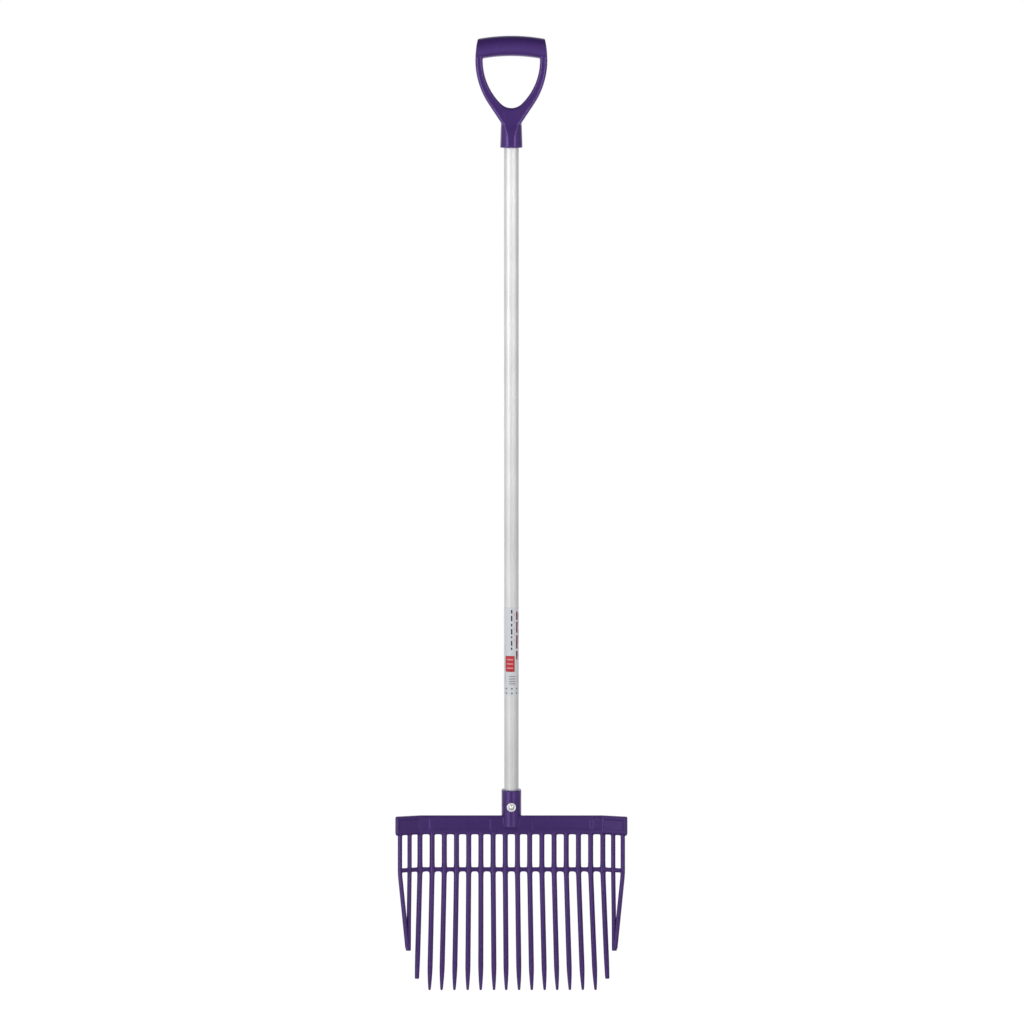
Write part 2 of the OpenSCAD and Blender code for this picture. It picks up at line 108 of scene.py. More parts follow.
def linear(colour: str) -> Colour:
    """Turn an sRGB hex colour into linear RGBA: a straight line near black, and a power curve above it.

    Args:
        colour: The colour, written as #RRGGBB.

    Returns:
        Red, green, blue and an alpha of 1, in linear light.
    """
    srgb = np.array([int(colour[k:k + 2], 16) for k in (1, 3, 5)]) / 255
    rgb = np.where(srgb <= 0.04045, srgb / 12.92, ((srgb + 0.055) / 1.055) ** 2.4)
    return (*rgb.tolist(), 1.0)


def per_metre(size_mm: float) -> float:
    """Give the texture scale at which one feature of a pattern measures size_mm."""
    return 1 / (size_mm * MM)


def along_z(fine_mm: float, long_mm: float) -> tuple[float, float, float]:
    """Give the texture scale of a pattern that is fine_mm across and drawn out to long_mm along Z."""
    return per_metre(fine_mm), per_metre(fine_mm), per_metre(long_mm)


def node_box(node: str) -> np.ndarray:
    """Give the lowest and highest corner of a CAD node, in millimetres."""
    return np.array([list(corner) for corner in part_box(node)]) / MM


def smooth_step(value: np.ndarray) -> np.ndarray:
    """Ease from 0 to 1 as value goes from 0 to 1, flat at both ends."""
    t = np.clip(value, 0, 1)
    return t * t * (3 - 2 * t)


def fillet(distance: np.ndarray, radius: float, hold: float = 1.5) -> np.ndarray:
    """Give the extra width that a concave round adds near a face.

    The round is a quarter circle that is tangent to the face and to the side: at the distance d from
    the face it adds r - sqrt(r^2 - (r - d)^2), and nothing further than r away. Behind the face it keeps
    its full width for the length hold and fades out over the same length, so that no ledge shows.

    Args:
        distance: Distance from the face, negative behind it.
        radius: Radius of the round.
        hold: Length behind the face over which the full width is kept.

    Returns:
        The extra width at each distance.
    """
    reach = np.clip(radius - distance, 0, radius)
    extra = radius - np.sqrt(np.maximum(radius ** 2 - reach ** 2, 0))
    return np.where(distance < 0, radius * (1 - smooth_step(-distance / hold - 1)), extra)


@dataclass(frozen=True)
class Surface:
    """A sheet of faces, closed on every piece of the fork.

    Attributes:
        points: Places in millimetres, one row each.
        quads: Four-cornered faces, as rows of point numbers.
        fans: Three-cornered faces, as rows of point numbers.
    """

    points: np.ndarray
    quads: np.ndarray
    fans: np.ndarray

    def volume(self) -> float:
        """Add up the signed volume: a sixth of a . (b x c) over all triangles.

        Returns:
            The volume, which is positive where the faces point outwards.
        """
        triangles = np.concatenate([self.quads[:, [0, 1, 2]], self.quads[:, [0, 2, 3]], self.fans])
        a, b, c = (self.points[triangles[:, k]] for k in range(3))
        return float(np.einsum("ij,ij->", a, np.cross(b, c)) / 6)

    def outward(self) -> "Surface":
        """Turn the faces outwards where they point inwards.

        Returns:
            The same sheet, with its faces pointing outwards.
        """
        if self.volume() >= 0:
            return self
        return Surface(self.points, self.quads[:, ::-1], self.fans[:, ::-1])


def grid_quads(rows: int, columns: int, ring: bool = True, loop: bool = False) -> np.ndarray:
    """Number the faces of a grid of points that is stored row by row.

    Args:
        rows: Number of rows.
        columns: Number of points in a row.
        ring: Whether the last column joins the first.
        loop: Whether the last row joins the first.

    Returns:
        One row of four point numbers per face.
    """
    i, j = np.meshgrid(np.arange(rows - (not loop)), np.arange(columns - (not ring)), indexing="ij")
    i2, j2 = (i + 1) % rows, (j + 1) % columns
    corners = [i * columns + j, i * columns + j2, i2 * columns + j2, i2 * columns + j]
    return np.stack(corners, axis=-1).reshape(-1, 4)


def capped_tube(rings: np.ndarray) -> Surface:
    """Close a row of rings into a solid, with a fan of faces over each end.

    Args:
        rings: Points with the shape (rings, points in a ring, 3).

    Returns:
        The closed surface.
    """
    rows, columns, _ = rings.shape
    poles = rings[[0, -1]].mean(axis=1)
    j = np.arange(columns)
    j2 = (j + 1) % columns
    last = (rows - 1) * columns
    start = np.full(columns, rows * columns)
    end = start + 1
    fans = np.concatenate([np.stack([start, j2, j], 1), np.stack([end, last + j, last + j2], 1)])
    points = np.concatenate([rings.reshape(-1, 3), poles])
    return Surface(points, grid_quads(rows, columns), fans).outward()


def closed_loop(rings: np.ndarray) -> Surface:
    """Close a row of rings end to end, as a hoop.

    Args:
        rings: Points with the shape (rings, points in a ring, 3).

    Returns:
        The closed surface.
    """
    rows, columns, _ = rings.shape
    quads = grid_quads(rows, columns, loop=True)
    return Surface(rings.reshape(-1, 3), quads, NO_FANS).outward()


def revolve(profile: np.ndarray, segments: int) -> np.ndarray:
    """Turn a profile about the Z axis: each point (r, z) becomes the ring (r cos t, r sin t, z).

    Args:
        profile: Rows of radius and height.
        segments: Points in a ring.

    Returns:
        Rings with the shape (profile points, segments, 3).
    """
    turn = np.linspace(0, 2 * np.pi, segments, endpoint=False)
    r, z = profile[:, :1], np.repeat(profile[:, 1:], segments, axis=1)
    return np.stack([r * np.cos(turn), r * np.sin(turn), z], axis=-1)


def carry(path: np.ndarray, outline: np.ndarray) -> np.ndarray:
    """Carry an outline along a path that mostly runs up or down.

    At each station the outline's first axis is the X axis made square to the path, its second is square
    to both, and the point is path + across * outline_0 + normal * outline_1.

    Args:
        path: Stations with the shape (n, 3).
        outline: Outlines with the shape (n, points, 2).

    Returns:
        Rings with the shape (n, points, 3).
    """
    tangent = np.gradient(path, axis=0)
    tangent /= np.linalg.norm(tangent, axis=1, keepdims=True)
    across = np.array([1.0, 0, 0]) - tangent * tangent[:, :1]
    across /= np.linalg.norm(across, axis=1, keepdims=True)
    normal = np.cross(tangent, across)
    return path[:, None] + across[:, None] * outline[..., :1] + normal[:, None] * outline[..., 1:]


def arc(centre: tuple[float, float], radius: float, start: float, end: float, steps: int) -> np.ndarray:
    """Give points on an arc, as rows of two coordinates, from the angle start to end in degrees."""
    turn = np.radians(np.linspace(start, end, steps))
    return np.stack([centre[0] + radius * np.cos(turn), centre[1] + radius * np.sin(turn)], axis=1)


def rounded_box(half_w: np.ndarray, half_d: np.ndarray, radius: float, steps: int) -> np.ndarray:
    """Give rounded rectangles: four corner arcs of one radius about the inner corners.

    Args:
        half_w: Half widths, one per outline.
        half_d: Half depths, one per outline.
        radius: Radius of the corners.
        steps: Points in each corner.

    Returns:
        Outlines with the shape (n, 4 * steps, 2).
    """
    corner = np.concatenate([arc((0, 0), radius, a, a + 90, steps) for a in (0, 90, 180, 270)])
    sign = np.repeat([[1, 1], [-1, 1], [-1, -1], [1, -1]], steps, axis=0)
    inner = np.stack([half_w - radius, half_d - radius], axis=-1)
    return corner + sign * inner[:, None, :]


def mesh_object(name: str, surfaces: list[Surface]) -> bpy.types.Object:
    """Put surfaces into one mesh object at the origin, with smooth faces and sharp corners.

    Args:
        name: Name of the piece.
        surfaces: What the piece is made of.

    Returns:
        The new object.
    """
    starts = np.cumsum([0] + [len(s.points) for s in surfaces[:-1]])
    points = np.concatenate([s.points for s in surfaces]) * MM
    faces = []
    for surface, start in zip(surfaces, starts):
        faces += (surface.quads + start).tolist() + (surface.fans + start).tolist()
    mesh = bpy.data.meshes.new(name)
    mesh.from_pydata(points.tolist(), [], faces)
    mesh.polygons.foreach_set("use_smooth", np.ones(len(mesh.polygons), bool))
    mesh.set_sharp_from_angle(angle=SHARP_ANGLE)
    made = bpy.data.objects.new(name, mesh)
    bpy.context.scene.collection.objects.link(made)
    return made


def settle(piece: bpy.types.Object, slot: str, *nodes: str) -> bpy.types.Object:
    """Let a piece ride on the fork and stand for CAD nodes, which it hides.

    Args:
        piece: The finished piece.
        slot: Name of the record's material slot; not used.
        *nodes: CAD nodes that it stands for.

    Returns:
        The same piece.
    """
    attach(piece, BODY)
    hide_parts(*nodes)
    return piece


def paint(piece: bpy.types.Object, material: bpy.types.Material) -> None:
    """Give a piece or a CAD node one material all over."""
    piece.data.materials.clear()
    piece.data.materials.append(material)


def wire(tree: bpy.types.NodeTree, node: bpy.types.Node, inputs: dict) -> None:
    """Give each input of a node its constant, or link another node's output to it.

    Args:
        tree: The tree that the node is in.
        node: The node that is fed.
        inputs: A constant or another node's output socket for each input.
    """
    for name, value in inputs.items():
        if isinstance(value, bpy.types.NodeSocket):
            tree.links.new(value, node.inputs[name])
        else:
            node.inputs[name].default_value = value


def add_node(tree: bpy.types.NodeTree, kind: str, settings: dict | None = None,
             inputs: dict | None = None) -> bpy.types.Node:
    """Add one shader node with its settings, constants and links.

    Args:
        tree: The material's node tree.
        kind: Blender's name for the node.
        settings: Values of the node's own properties.
        inputs: A constant or another node's output socket for each input.

    Returns:
        The new node.
    """
    node = tree.nodes.new(kind)
    for name, value in (settings or {}).items():
        setattr(node, name, value)
    wire(tree, node, inputs or {})
    return node


def new_material(
        name: str, constants: dict) -> tuple[bpy.types.Material, bpy.types.Node, bpy.types.Node]:
    """Start a material with one Principled shader and the piece's coordinates.

    Args:
        name: Name of the material.
        constants: Values for the shader's own sockets.

    Returns:
        The material, its shader, and the node that gives the coordinates.
    """
    material = bpy.data.materials.new(name)
    material.use_nodes = True
    shader = material.node_tree.nodes["Principled BSDF"]
    wire(material.node_tree, shader, constants)
    return material, shader, add_node(material.node_tree, "ShaderNodeTexCoord")


@dataclass(frozen=True)
class MouldedPolypropylene:
    """Coloured polypropylene from a spark-eroded mould: a satin skin with a fine, even grain."""

    # To the eye it is one deep purple with a soft violet shine, which the grain breaks up a little.
    name: str = "moulded_polypropylene_purple"
    colour: str = "#38215E"
    deep: str = "#341E58"
    scuff: str = "#6B5397"
    ior: float = 1.52
    specular: float = 1.0
    specular_tint: str = "#C8A6FF"
    roughness: tuple[float, float] = (0.31, 0.38)
    flow_mm: float = 55.0
    # A mould's grain is too fine to show, so it is drawn coarser, for close views.
    grain_mm: float = 0.9
    grain_depth_mm: float = 0.05
    grain_strength: float = 0.35
    scuff_mm: tuple[float, float] = (1.4, 26.0)
    scuff_range: tuple[float, float] = (0.62, 0.80)
    scuff_share: float = 0.22

    def material(self) -> bpy.types.Material:
        """Build the material: slow flow marks in the colour, a pebbled grain and faint handling scuffs.

        Returns:
            The material.
        """
        made, shader, where = new_material(self.name, {
            "IOR": self.ior, "Specular IOR Level": self.specular,
            "Specular Tint": linear(self.specular_tint)})
        tree, place = made.node_tree, where.outputs["Object"]
        flow = add_node(tree, "ShaderNodeTexNoise", inputs={
            "Vector": place, "Scale": per_metre(self.flow_mm), "Detail": 3.0}).outputs["Fac"]
        tone = add_node(tree, "ShaderNodeMix", {"data_type": "RGBA"}, {
            "Factor": flow, COLOUR_A: linear(self.deep),
            COLOUR_B: linear(self.colour)}).outputs[COLOUR_OUT]
        drawn = add_node(tree, "ShaderNodeMapping", inputs={
            "Vector": place, "Scale": along_z(*self.scuff_mm)}).outputs["Vector"]
        lines = add_node(tree, "ShaderNodeTexNoise", inputs={
            "Vector": drawn, "Scale": 1.0, "Detail": 2.0}).outputs["Fac"]
        rubbed = add_node(tree, "ShaderNodeMapRange", inputs={
            "Value": lines, "From Min": self.scuff_range[0], "From Max": self.scuff_range[1],
            "To Max": self.scuff_share}).outputs["Result"]
        skin = add_node(tree, "ShaderNodeMix", {"data_type": "RGBA"}, {
            "Factor": rubbed, COLOUR_A: tone, COLOUR_B: linear(self.scuff)}).outputs[COLOUR_OUT]
        grain = add_node(tree, "ShaderNodeTexNoise", inputs={
            "Vector": place, "Scale": per_metre(self.grain_mm), "Detail": 2.0}).outputs["Fac"]
        sheen = add_node(tree, "ShaderNodeMapRange", inputs={
            "Value": grain, "From Min": NOISE_LOW, "From Max": NOISE_HIGH,
            "To Min": self.roughness[0], "To Max": self.roughness[1]}).outputs["Result"]
        bump = add_node(tree, "ShaderNodeBump", inputs={
            "Height": grain, "Strength": self.grain_strength,
            "Distance": self.grain_depth_mm * MM}).outputs["Normal"]
        wire(tree, shader, {"Base Color": skin, "Roughness": sheen, "Normal": bump})
        return made


@dataclass(frozen=True)
class DrawnAluminium:
    """Aluminium tube, drawn through a die and satin anodised: long fine streaks in a soft shine."""

    # To the eye it is a pale grey metal whose light fades slowly round the tube, with no sharp glints.
    name: str = "drawn_aluminium_satin"
    colour: str = "#E6E6E7"
    streak: str = "#D9D9DA"
    roughness: tuple[float, float] = (0.58, 0.66)
    # A die's streaks are too fine to show, so they are drawn wider, for close views.
    streak_mm: tuple[float, float] = (1.1, 900.0)
    streak_depth_mm: float = 0.02
    streak_strength: float = 0.12
    cloud_mm: float = 90.0
    tone_range: tuple[float, float] = (0.12, 0.42)

    def material(self) -> bpy.types.Material:
        """Build the material: streaks along the tube change its colour, roughness and surface a little.

        Returns:
            The material.
        """
        made, shader, where = new_material(self.name, {"Metallic": 1.0})
        tree, place = made.node_tree, where.outputs["Object"]
        drawn = add_node(tree, "ShaderNodeMapping", inputs={
            "Vector": place, "Scale": along_z(*self.streak_mm)}).outputs["Vector"]
        streaks = add_node(tree, "ShaderNodeTexNoise", inputs={
            "Vector": drawn, "Scale": 1.0, "Detail": 4.0}).outputs["Fac"]
        clouds = add_node(tree, "ShaderNodeTexNoise", inputs={
            "Vector": place, "Scale": per_metre(self.cloud_mm), "Detail": 2.0}).outputs["Fac"]
        tone = add_node(tree, "ShaderNodeMath", {"operation": "MULTIPLY"}, {
            0: streaks, 1: clouds}).outputs["Value"]
        spread = add_node(tree, "ShaderNodeMapRange", inputs={
            "Value": tone, "From Min": self.tone_range[0],
            "From Max": self.tone_range[1]}).outputs["Result"]
        colour = add_node(tree, "ShaderNodeMix", {"data_type": "RGBA"}, {
            "Factor": spread, COLOUR_A: linear(self.colour),
            COLOUR_B: linear(self.streak)}).outputs[COLOUR_OUT]
        shine = add_node(tree, "ShaderNodeMapRange", inputs={
            "Value": streaks, "From Min": NOISE_LOW, "From Max": NOISE_HIGH,
            "To Min": self.roughness[0], "To Max": self.roughness[1]}).outputs["Result"]
        bump = add_node(tree, "ShaderNodeBump", inputs={
            "Height": streaks, "Strength": self.streak_strength,
            "Distance": self.streak_depth_mm * MM}).outputs["Normal"]
        wire(tree, shader, {"Base Color": colour, "Roughness": shine, "Normal": bump})
        return made


@dataclass(frozen=True)
class ZincPlatedSteel:
    """Steel fasteners, bright zinc plated: a pale, faintly cloudy metal with a soft shine."""

    # To the eye it is nearly white metal; the clouds and pits keep it from looking like a mirror.
    name: str = "zinc_plated_steel"
    colour: str = "#FAF9F9"
    cloud: str = "#EEEDEE"
    roughness: tuple[float, float] = (0.46, 0.56)
    cloud_mm: float = 2.2
    # The plating's pits are too fine to show, so they are drawn coarser, for close views.
    pit_mm: float = 0.5
    pit_depth_mm: float = 0.02
    pit_strength: float = 0.15

    def material(self) -> bpy.types.Material:
        """Build the material: plating clouds in the colour, and fine pits in the shine and the surface.

        Returns:
            The material.
        """
        made, shader, where = new_material(self.name, {"Metallic": 1.0})
        tree, place = made.node_tree, where.outputs["Object"]
        clouds = add_node(tree, "ShaderNodeTexNoise", inputs={
            "Vector": place, "Scale": per_metre(self.cloud_mm), "Detail": 3.0}).outputs["Fac"]
        colour = add_node(tree, "ShaderNodeMix", {"data_type": "RGBA"}, {
            "Factor": clouds, COLOUR_A: linear(self.colour),
            COLOUR_B: linear(self.cloud)}).outputs[COLOUR_OUT]
        pits = add_node(tree, "ShaderNodeTexNoise", inputs={
            "Vector": place, "Scale": per_metre(self.pit_mm), "Detail": 2.0}).outputs["Fac"]
        shine = add_node(tree, "ShaderNodeMapRange", inputs={
            "Value": pits, "From Min": NOISE_LOW, "From Max": NOISE_HIGH,
            "To Min": self.roughness[0], "To Max": self.roughness[1]}).outputs["Result"]
        bump = add_node(tree, "ShaderNodeBump", inputs={
            "Height": pits, "Strength": self.pit_strength,
            "Distance": self.pit_depth_mm * MM}).outputs["Normal"]
        wire(tree, shader, {"Base Color": colour, "Roughness": shine, "Normal": bump})
        return made


@dataclass(frozen=True)
class NaturalNylon:
    """Moulded natural nylon: a milky plastic with a soft surface."""

    # To the eye it is a warm off-white, a little uneven, beside the cold white of the zinc.
    name: str = "natural_nylon"
    colour: str = "#E9E7DC"
    shade: str = "#DAD7C8"
    ior: float = 1.53
    roughness: float = 0.45
    cloud_mm: float = 1.5

    def material(self) -> bpy.types.Material:
        """Build the material: faint milky clouds in the colour.

        Returns:
            The material.
        """
        made, shader, where = new_material(self.name, {"IOR": self.ior, "Roughness": self.roughness})
        tree, place = made.node_tree, where.outputs["Object"]
        clouds = add_node(tree, "ShaderNodeTexNoise", inputs={
            "Vector": place, "Scale": per_metre(self.cloud_mm), "Detail": 2.0}).outputs["Fac"]
        colour = add_node(tree, "ShaderNodeMix", {"data_type": "RGBA"}, {
            "Factor": clouds, COLOUR_A: linear(self.colour),
            COLOUR_B: linear(self.shade)}).outputs[COLOUR_OUT]
        wire(tree, shader, {"Base Color": colour})
        return made


@dataclass(frozen=True)
class TurnedBirch:
    """Bare turned birch: pale wood with close, straight grain along the core."""

    # To the eye it is dull and sandy, with darker fibres that run with the tube.
    name: str = "turned_birch"
    colour: str = "#D9C19A"
    grain: str = "#B8976A"
    roughness: float = 0.62
    grain_mm: tuple[float, float] = (1.3, 38.0)
    grain_depth_mm: float = 0.1
    grain_strength: float = 0.3

    def material(self) -> bpy.types.Material:
        """Build the material: noise stretched along the core gives the grain in colour and surface.

        Returns:
            The material.
        """
        made, shader, where = new_material(self.name, {"Roughness": self.roughness})
        tree, place = made.node_tree, where.outputs["Object"]
        drawn = add_node(tree, "ShaderNodeMapping", inputs={
            "Vector": place, "Scale": along_z(*self.grain_mm)}).outputs["Vector"]
        fibres = add_node(tree, "ShaderNodeTexNoise", inputs={
            "Vector": drawn, "Scale": 1.0, "Detail": 5.0}).outputs["Fac"]
        colour = add_node(tree, "ShaderNodeMix", {"data_type": "RGBA"}, {
            "Factor": fibres, COLOUR_A: linear(self.colour),
            COLOUR_B: linear(self.grain)}).outputs[COLOUR_OUT]
        bump = add_node(tree, "ShaderNodeBump", inputs={
            "Height": fibres, "Strength": self.grain_strength,
            "Distance": self.grain_depth_mm * MM}).outputs["Normal"]
        wire(tree, shader, {"Base Color": colour, "Normal": bump})
        return made


@dataclass(frozen=True)
class PrintMark:
    """One block of the label: most are printed, and a few are thin strips of painted shade.

    Attributes:
        angle: Middle of the block round the tube, in degrees from the front, positive to the right.
        rise: Middle of the block above the label's lower edge.
        width: Width round the tube.
        height: Height along the tube.
        ink_and_shade: Colour of the block.
        bar: Spacing of bars across the block, or 0 where it is solid.
    """

    angle: float
    rise: float
    width: float
    height: float
    ink_and_shade: str
    bar: float = 0.0


@dataclass(frozen=True)
class PrintedFilm:
    """Printed polypropylene film: a white, slightly glossy skin with flat inks."""

    # To the eye it is a cool white band on the tube, with small plain blocks in black, red and grey, and
    # thin black strips of painted shade near the tube's right edge.
    name: str = "printed_film_label"
    colour: str = "#CDCFD4"
    black: str = "#2A2628"
    red: str = "#B9222B"
    dark_red: str = "#6E2227"
    pink: str = "#D98A8C"
    grey: str = "#8C8A8D"
    ior: float = 1.49
    roughness: float = 0.34
    bar_gap: float = 0.55
    ripple_mm: float = 14.0
    ripple_depth_mm: float = 0.15
    ripple_strength: float = 0.2

    def marks(self) -> list[PrintMark]:
        """List the printed blocks, plain bars and panels that carry no words, and thin black strips of
        painted shade near the tube's right edge.

        Returns:
            The blocks, in the order in which they are laid over the film.
        """
        rules = [PrintMark(-54, rise, 0.7, 17, self.grey) for rise in (29, 52, 75)]
        dashes = [PrintMark(2, rise, 2.3, height, self.black) for rise, height in (
            (138, 6), (127, 9), (116, 4), (105, 9), (96, 3), (86, 8), (77, 4))]
        edge = [PrintMark(46, rise, 3.4, height, self.dark_red)
                for rise, height in ((131, 14), (112, 18), (88, 22), (66, 14))]
        # Thin black strips near the tube's right edge, where it turns away from the lamps: painted shade.
        shade = [PrintMark(63, rise, 1.0, height, self.black)
                 for rise, height in ((124, 22), (98, 24), (68, 8))]
        flecks = [PrintMark(24, rise, 1.3, 3.2, self.pink) for rise in (133, 121, 110, 100, 91)]
        panel = [PrintMark(-12, 52, 16.2, 26.2, self.dark_red), PrintMark(-12, 52, 15, 25, self.red)]
        panel += [PrintMark(-12, rise, 11, 2.2, self.pink) for rise in (45, 52, 59)]
        foot = [PrintMark(6, 25, 11, 16, self.grey, 4.0), PrintMark(50, 26, 1.6, 14, self.grey, 3.0)]
        dots = [PrintMark(angle, rise, 2.4, 2.2, self.black)
                for angle in (-42, 4, 44) for rise in (3.5, 11)]
        return rules + dashes + edge + shade + flecks + panel + foot + dots

    def material(self, around: float, length: float, seam_share: float) -> bpy.types.Material:
        """Build the material: each block is a box in the label's own UV map, laid over the white film.

        Args:
            around: Length of the tube's round at the film.
            length: Length of the label along the tube.
            seam_share: Share of the round that the open seam takes.

        Returns:
            The material.
        """
        made, shader, where = new_material(self.name, {"IOR": self.ior, "Roughness": self.roughness})
        tree = made.node_tree
        split = add_node(tree, "ShaderNodeSeparateXYZ", inputs={"Vector": where.outputs["UV"]})
        covered = 1 - seam_share
        ink_and_shade: Colour | bpy.types.NodeSocket = linear(self.colour)
        for mark in self.marks():
            near_u = add_node(tree, "ShaderNodeMath", {"operation": "COMPARE"}, {
                0: split.outputs["X"], 1: 0.5 + mark.angle / 360 / covered,
                2: mark.width / 2 / around / covered}).outputs["Value"]
            near_v = add_node(tree, "ShaderNodeMath", {"operation": "COMPARE"}, {
                0: split.outputs["Y"], 1: mark.rise / length,
                2: mark.height / 2 / length}).outputs["Value"]
            inside = add_node(tree, "ShaderNodeMath", {"operation": "MULTIPLY"}, {
                0: near_u, 1: near_v}).outputs["Value"]
            if mark.bar:
                count = add_node(tree, "ShaderNodeMath", {"operation": "MULTIPLY"}, {
                    0: split.outputs["Y"], 1: length / mark.bar}).outputs["Value"]
                part = add_node(tree, "ShaderNodeMath", {"operation": "FRACT"}, {
                    0: count}).outputs["Value"]
                struck = add_node(tree, "ShaderNodeMath", {"operation": "GREATER_THAN"}, {
                    0: part, 1: self.bar_gap}).outputs["Value"]
                inside = add_node(tree, "ShaderNodeMath", {"operation": "MULTIPLY"}, {
                    0: inside, 1: struck}).outputs["Value"]
            ink_and_shade = add_node(tree, "ShaderNodeMix", {"data_type": "RGBA"}, {
                "Factor": inside, COLOUR_A: ink_and_shade, COLOUR_B: linear(mark.ink_and_shade)}).outputs[COLOUR_OUT]
        ripple = add_node(tree, "ShaderNodeTexNoise", inputs={
            "Vector": where.outputs["Object"], "Scale": per_metre(self.ripple_mm),
            "Detail": 2.0}).outputs["Fac"]
        bump = add_node(tree, "ShaderNodeBump", inputs={
            "Height": ripple, "Strength": self.ripple_strength,
            "Distance": self.ripple_depth_mm * MM}).outputs["Normal"]
        wire(tree, shader, {"Base Color": ink_and_shade, "Normal": bump})
        return made


@dataclass(frozen=True)
class PaleBackdrop:
    """Matt backdrop paper, lit evenly enough to lose its edges."""

    # To the eye it is plain white, which is its glow; its own colour is dark, so that lamps add little.
    name: str = "matt_backdrop_paper"
    colour: str = "#3A3A3A"
    shade: str = "#323232"
    glow: float = 1.0
    fibre_mm: float = 3.0

    def material(self) -> bpy.types.Material:
        """Build the material: paper that glows evenly, with a faint fibre in what it throws back.

        Returns:
            The material.
        """
        made, shader, where = new_material(self.name, {
            "Roughness": 1.0, "Specular IOR Level": 0.0, "Emission Color": linear(WHITE),
            "Emission Strength": self.glow})
        tree, place = made.node_tree, where.outputs["Object"]
        fibre = add_node(tree, "ShaderNodeTexNoise", inputs={
            "Vector": place, "Scale": per_metre(self.fibre_mm), "Detail": 1.0}).outputs["Fac"]
        colour = add_node(tree, "ShaderNodeMix", {"data_type": "RGBA"}, {
            "Factor": fibre, COLOUR_A: linear(self.shade),
            COLOUR_B: linear(self.colour)}).outputs[COLOUR_OUT]
        wire(tree, shader, {"Base Color": colour})
        return made


@dataclass
class Shaft:
    """The aluminium tube, the core in its foot and the label round it."""

    wall: float = 1.5
    edge_r: float = 0.4
    label_seam: float = 2.0
    label_ripple: float = 0.03
    # Each wave of the label: how often it goes round the tube, and the height in which it turns a radian.
    label_waves: tuple[tuple[int, float], ...] = ((5, 9.0), (3, -14.0))
    label_grid: tuple[int, int] = (59, 121)
    segments: int = 128
    pieces: dict[str, bpy.types.Object] = field(default_factory=dict, init=False)

    def tube(self) -> Surface:
        """Turn the tube's wall about its axis: up the outside, over a rounded rim and down the bore.

        Returns:
            The closed surface.
        """
        low, high = node_box("shaft_tube")
        outer, foot, top = high[0], low[2], high[2]
        bore, r = outer - self.wall, self.edge_r
        rise = np.linspace(foot + r, top - r, 24)
        outside = np.stack([np.full_like(rise, outer), rise], 1)[1:-1]
        inside = np.stack([np.full_like(rise, bore), rise[::-1]], 1)[1:-1]
        profile = np.concatenate([
            arc((outer - r, foot + r), r, -90, 0, 4), outside, arc((outer - r, top - r), r, 0, 90, 4),
            arc((bore + r, top - r), r, 90, 180, 4), inside, arc((bore + r, foot + r), r, 180, 270, 4)])
        return closed_loop(revolve(profile, self.segments))

    def label(self) -> tuple[Surface, np.ndarray]:
        """Wrap the film round the tube as a grid of angle and height, with both faces and all four edges.

        The outer face lies at the film's radius less a slow ripple, the mean of two sine waves of angle
        and height; the inner face lies on the tube. The UV map gives the share of the turn and the share
        of the length.

        Returns:
            The closed surface, and a UV pair for each of its points.
        """
        low, high = node_box("shaft_label")
        outer, inner = high[0], node_box("shaft_tube")[1][0]
        half = np.pi - self.label_seam / outer / 2
        rows, columns = self.label_grid
        a, z = np.meshgrid(np.linspace(-half, half, columns), np.linspace(low[2], high[2], rows))
        waves = sum(np.sin(count * a + z / rise) for count, rise in self.label_waves)
        wave = self.label_ripple * (waves - len(self.label_waves)) / len(self.label_waves)
        sheets = [np.stack([r * np.sin(a), -r * np.cos(a), z], -1)
                  for r in (outer + wave, np.full_like(a, inner))]
        front = grid_quads(rows, columns, ring=False)
        back = front[:, ::-1] + rows * columns
        grid = np.arange(rows * columns).reshape(rows, columns)
        rim = np.concatenate([grid[0, :-1], grid[:-1, -1], grid[-1, :0:-1], grid[:0:-1, 0]])
        after = np.roll(rim, -1)
        edge = np.stack([after, rim, rim + rows * columns, after + rows * columns], 1)
        points = np.concatenate([s.reshape(-1, 3) for s in sheets])
        surface = Surface(points, np.concatenate([front, back, edge]), NO_FANS).outward()
        uv = np.stack([(a + half) / (2 * half), (z - low[2]) / (high[2] - low[2])], -1).reshape(-1, 2)
        return surface, np.concatenate([uv, uv])

    def build(self) -> None:
        """Make the tube and the label; the core stays as the CAD node."""
        tube = mesh_object("aluminium_tube", [self.tube()])
        self.pieces["tube"] = settle(tube, "aluminium_tube", "shaft_tube")
        surface, uv = self.label()
        label = mesh_object("wrapped_label", [surface])
        layer = label.data.uv_layers.new(name="print")
        corners = np.zeros(len(label.data.loops), np.int32)
        label.data.loops.foreach_get("vertex_index", corners)
        layer.data.foreach_set("uv", uv[corners].astype(np.float32).ravel())
        self.pieces["label"] = settle(label, "label_film", "shaft_label")

    def dress(self, metal: bpy.types.Material, film: PrintedFilm, wood: bpy.types.Material) -> None:
        """Give the tube, the label and the core their finishes.

        Args:
            metal: Material of the tube.
            film: Finish of the label.
            wood: Material of the core.
        """
        low, high = node_box("shaft_label")
        around = 2 * np.pi * high[0]
        paint(self.pieces["tube"], metal)
        paint(self.pieces["label"], film.material(around, high[2] - low[2], self.label_seam / around))
        paint(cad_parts["shaft_plug"], wood)


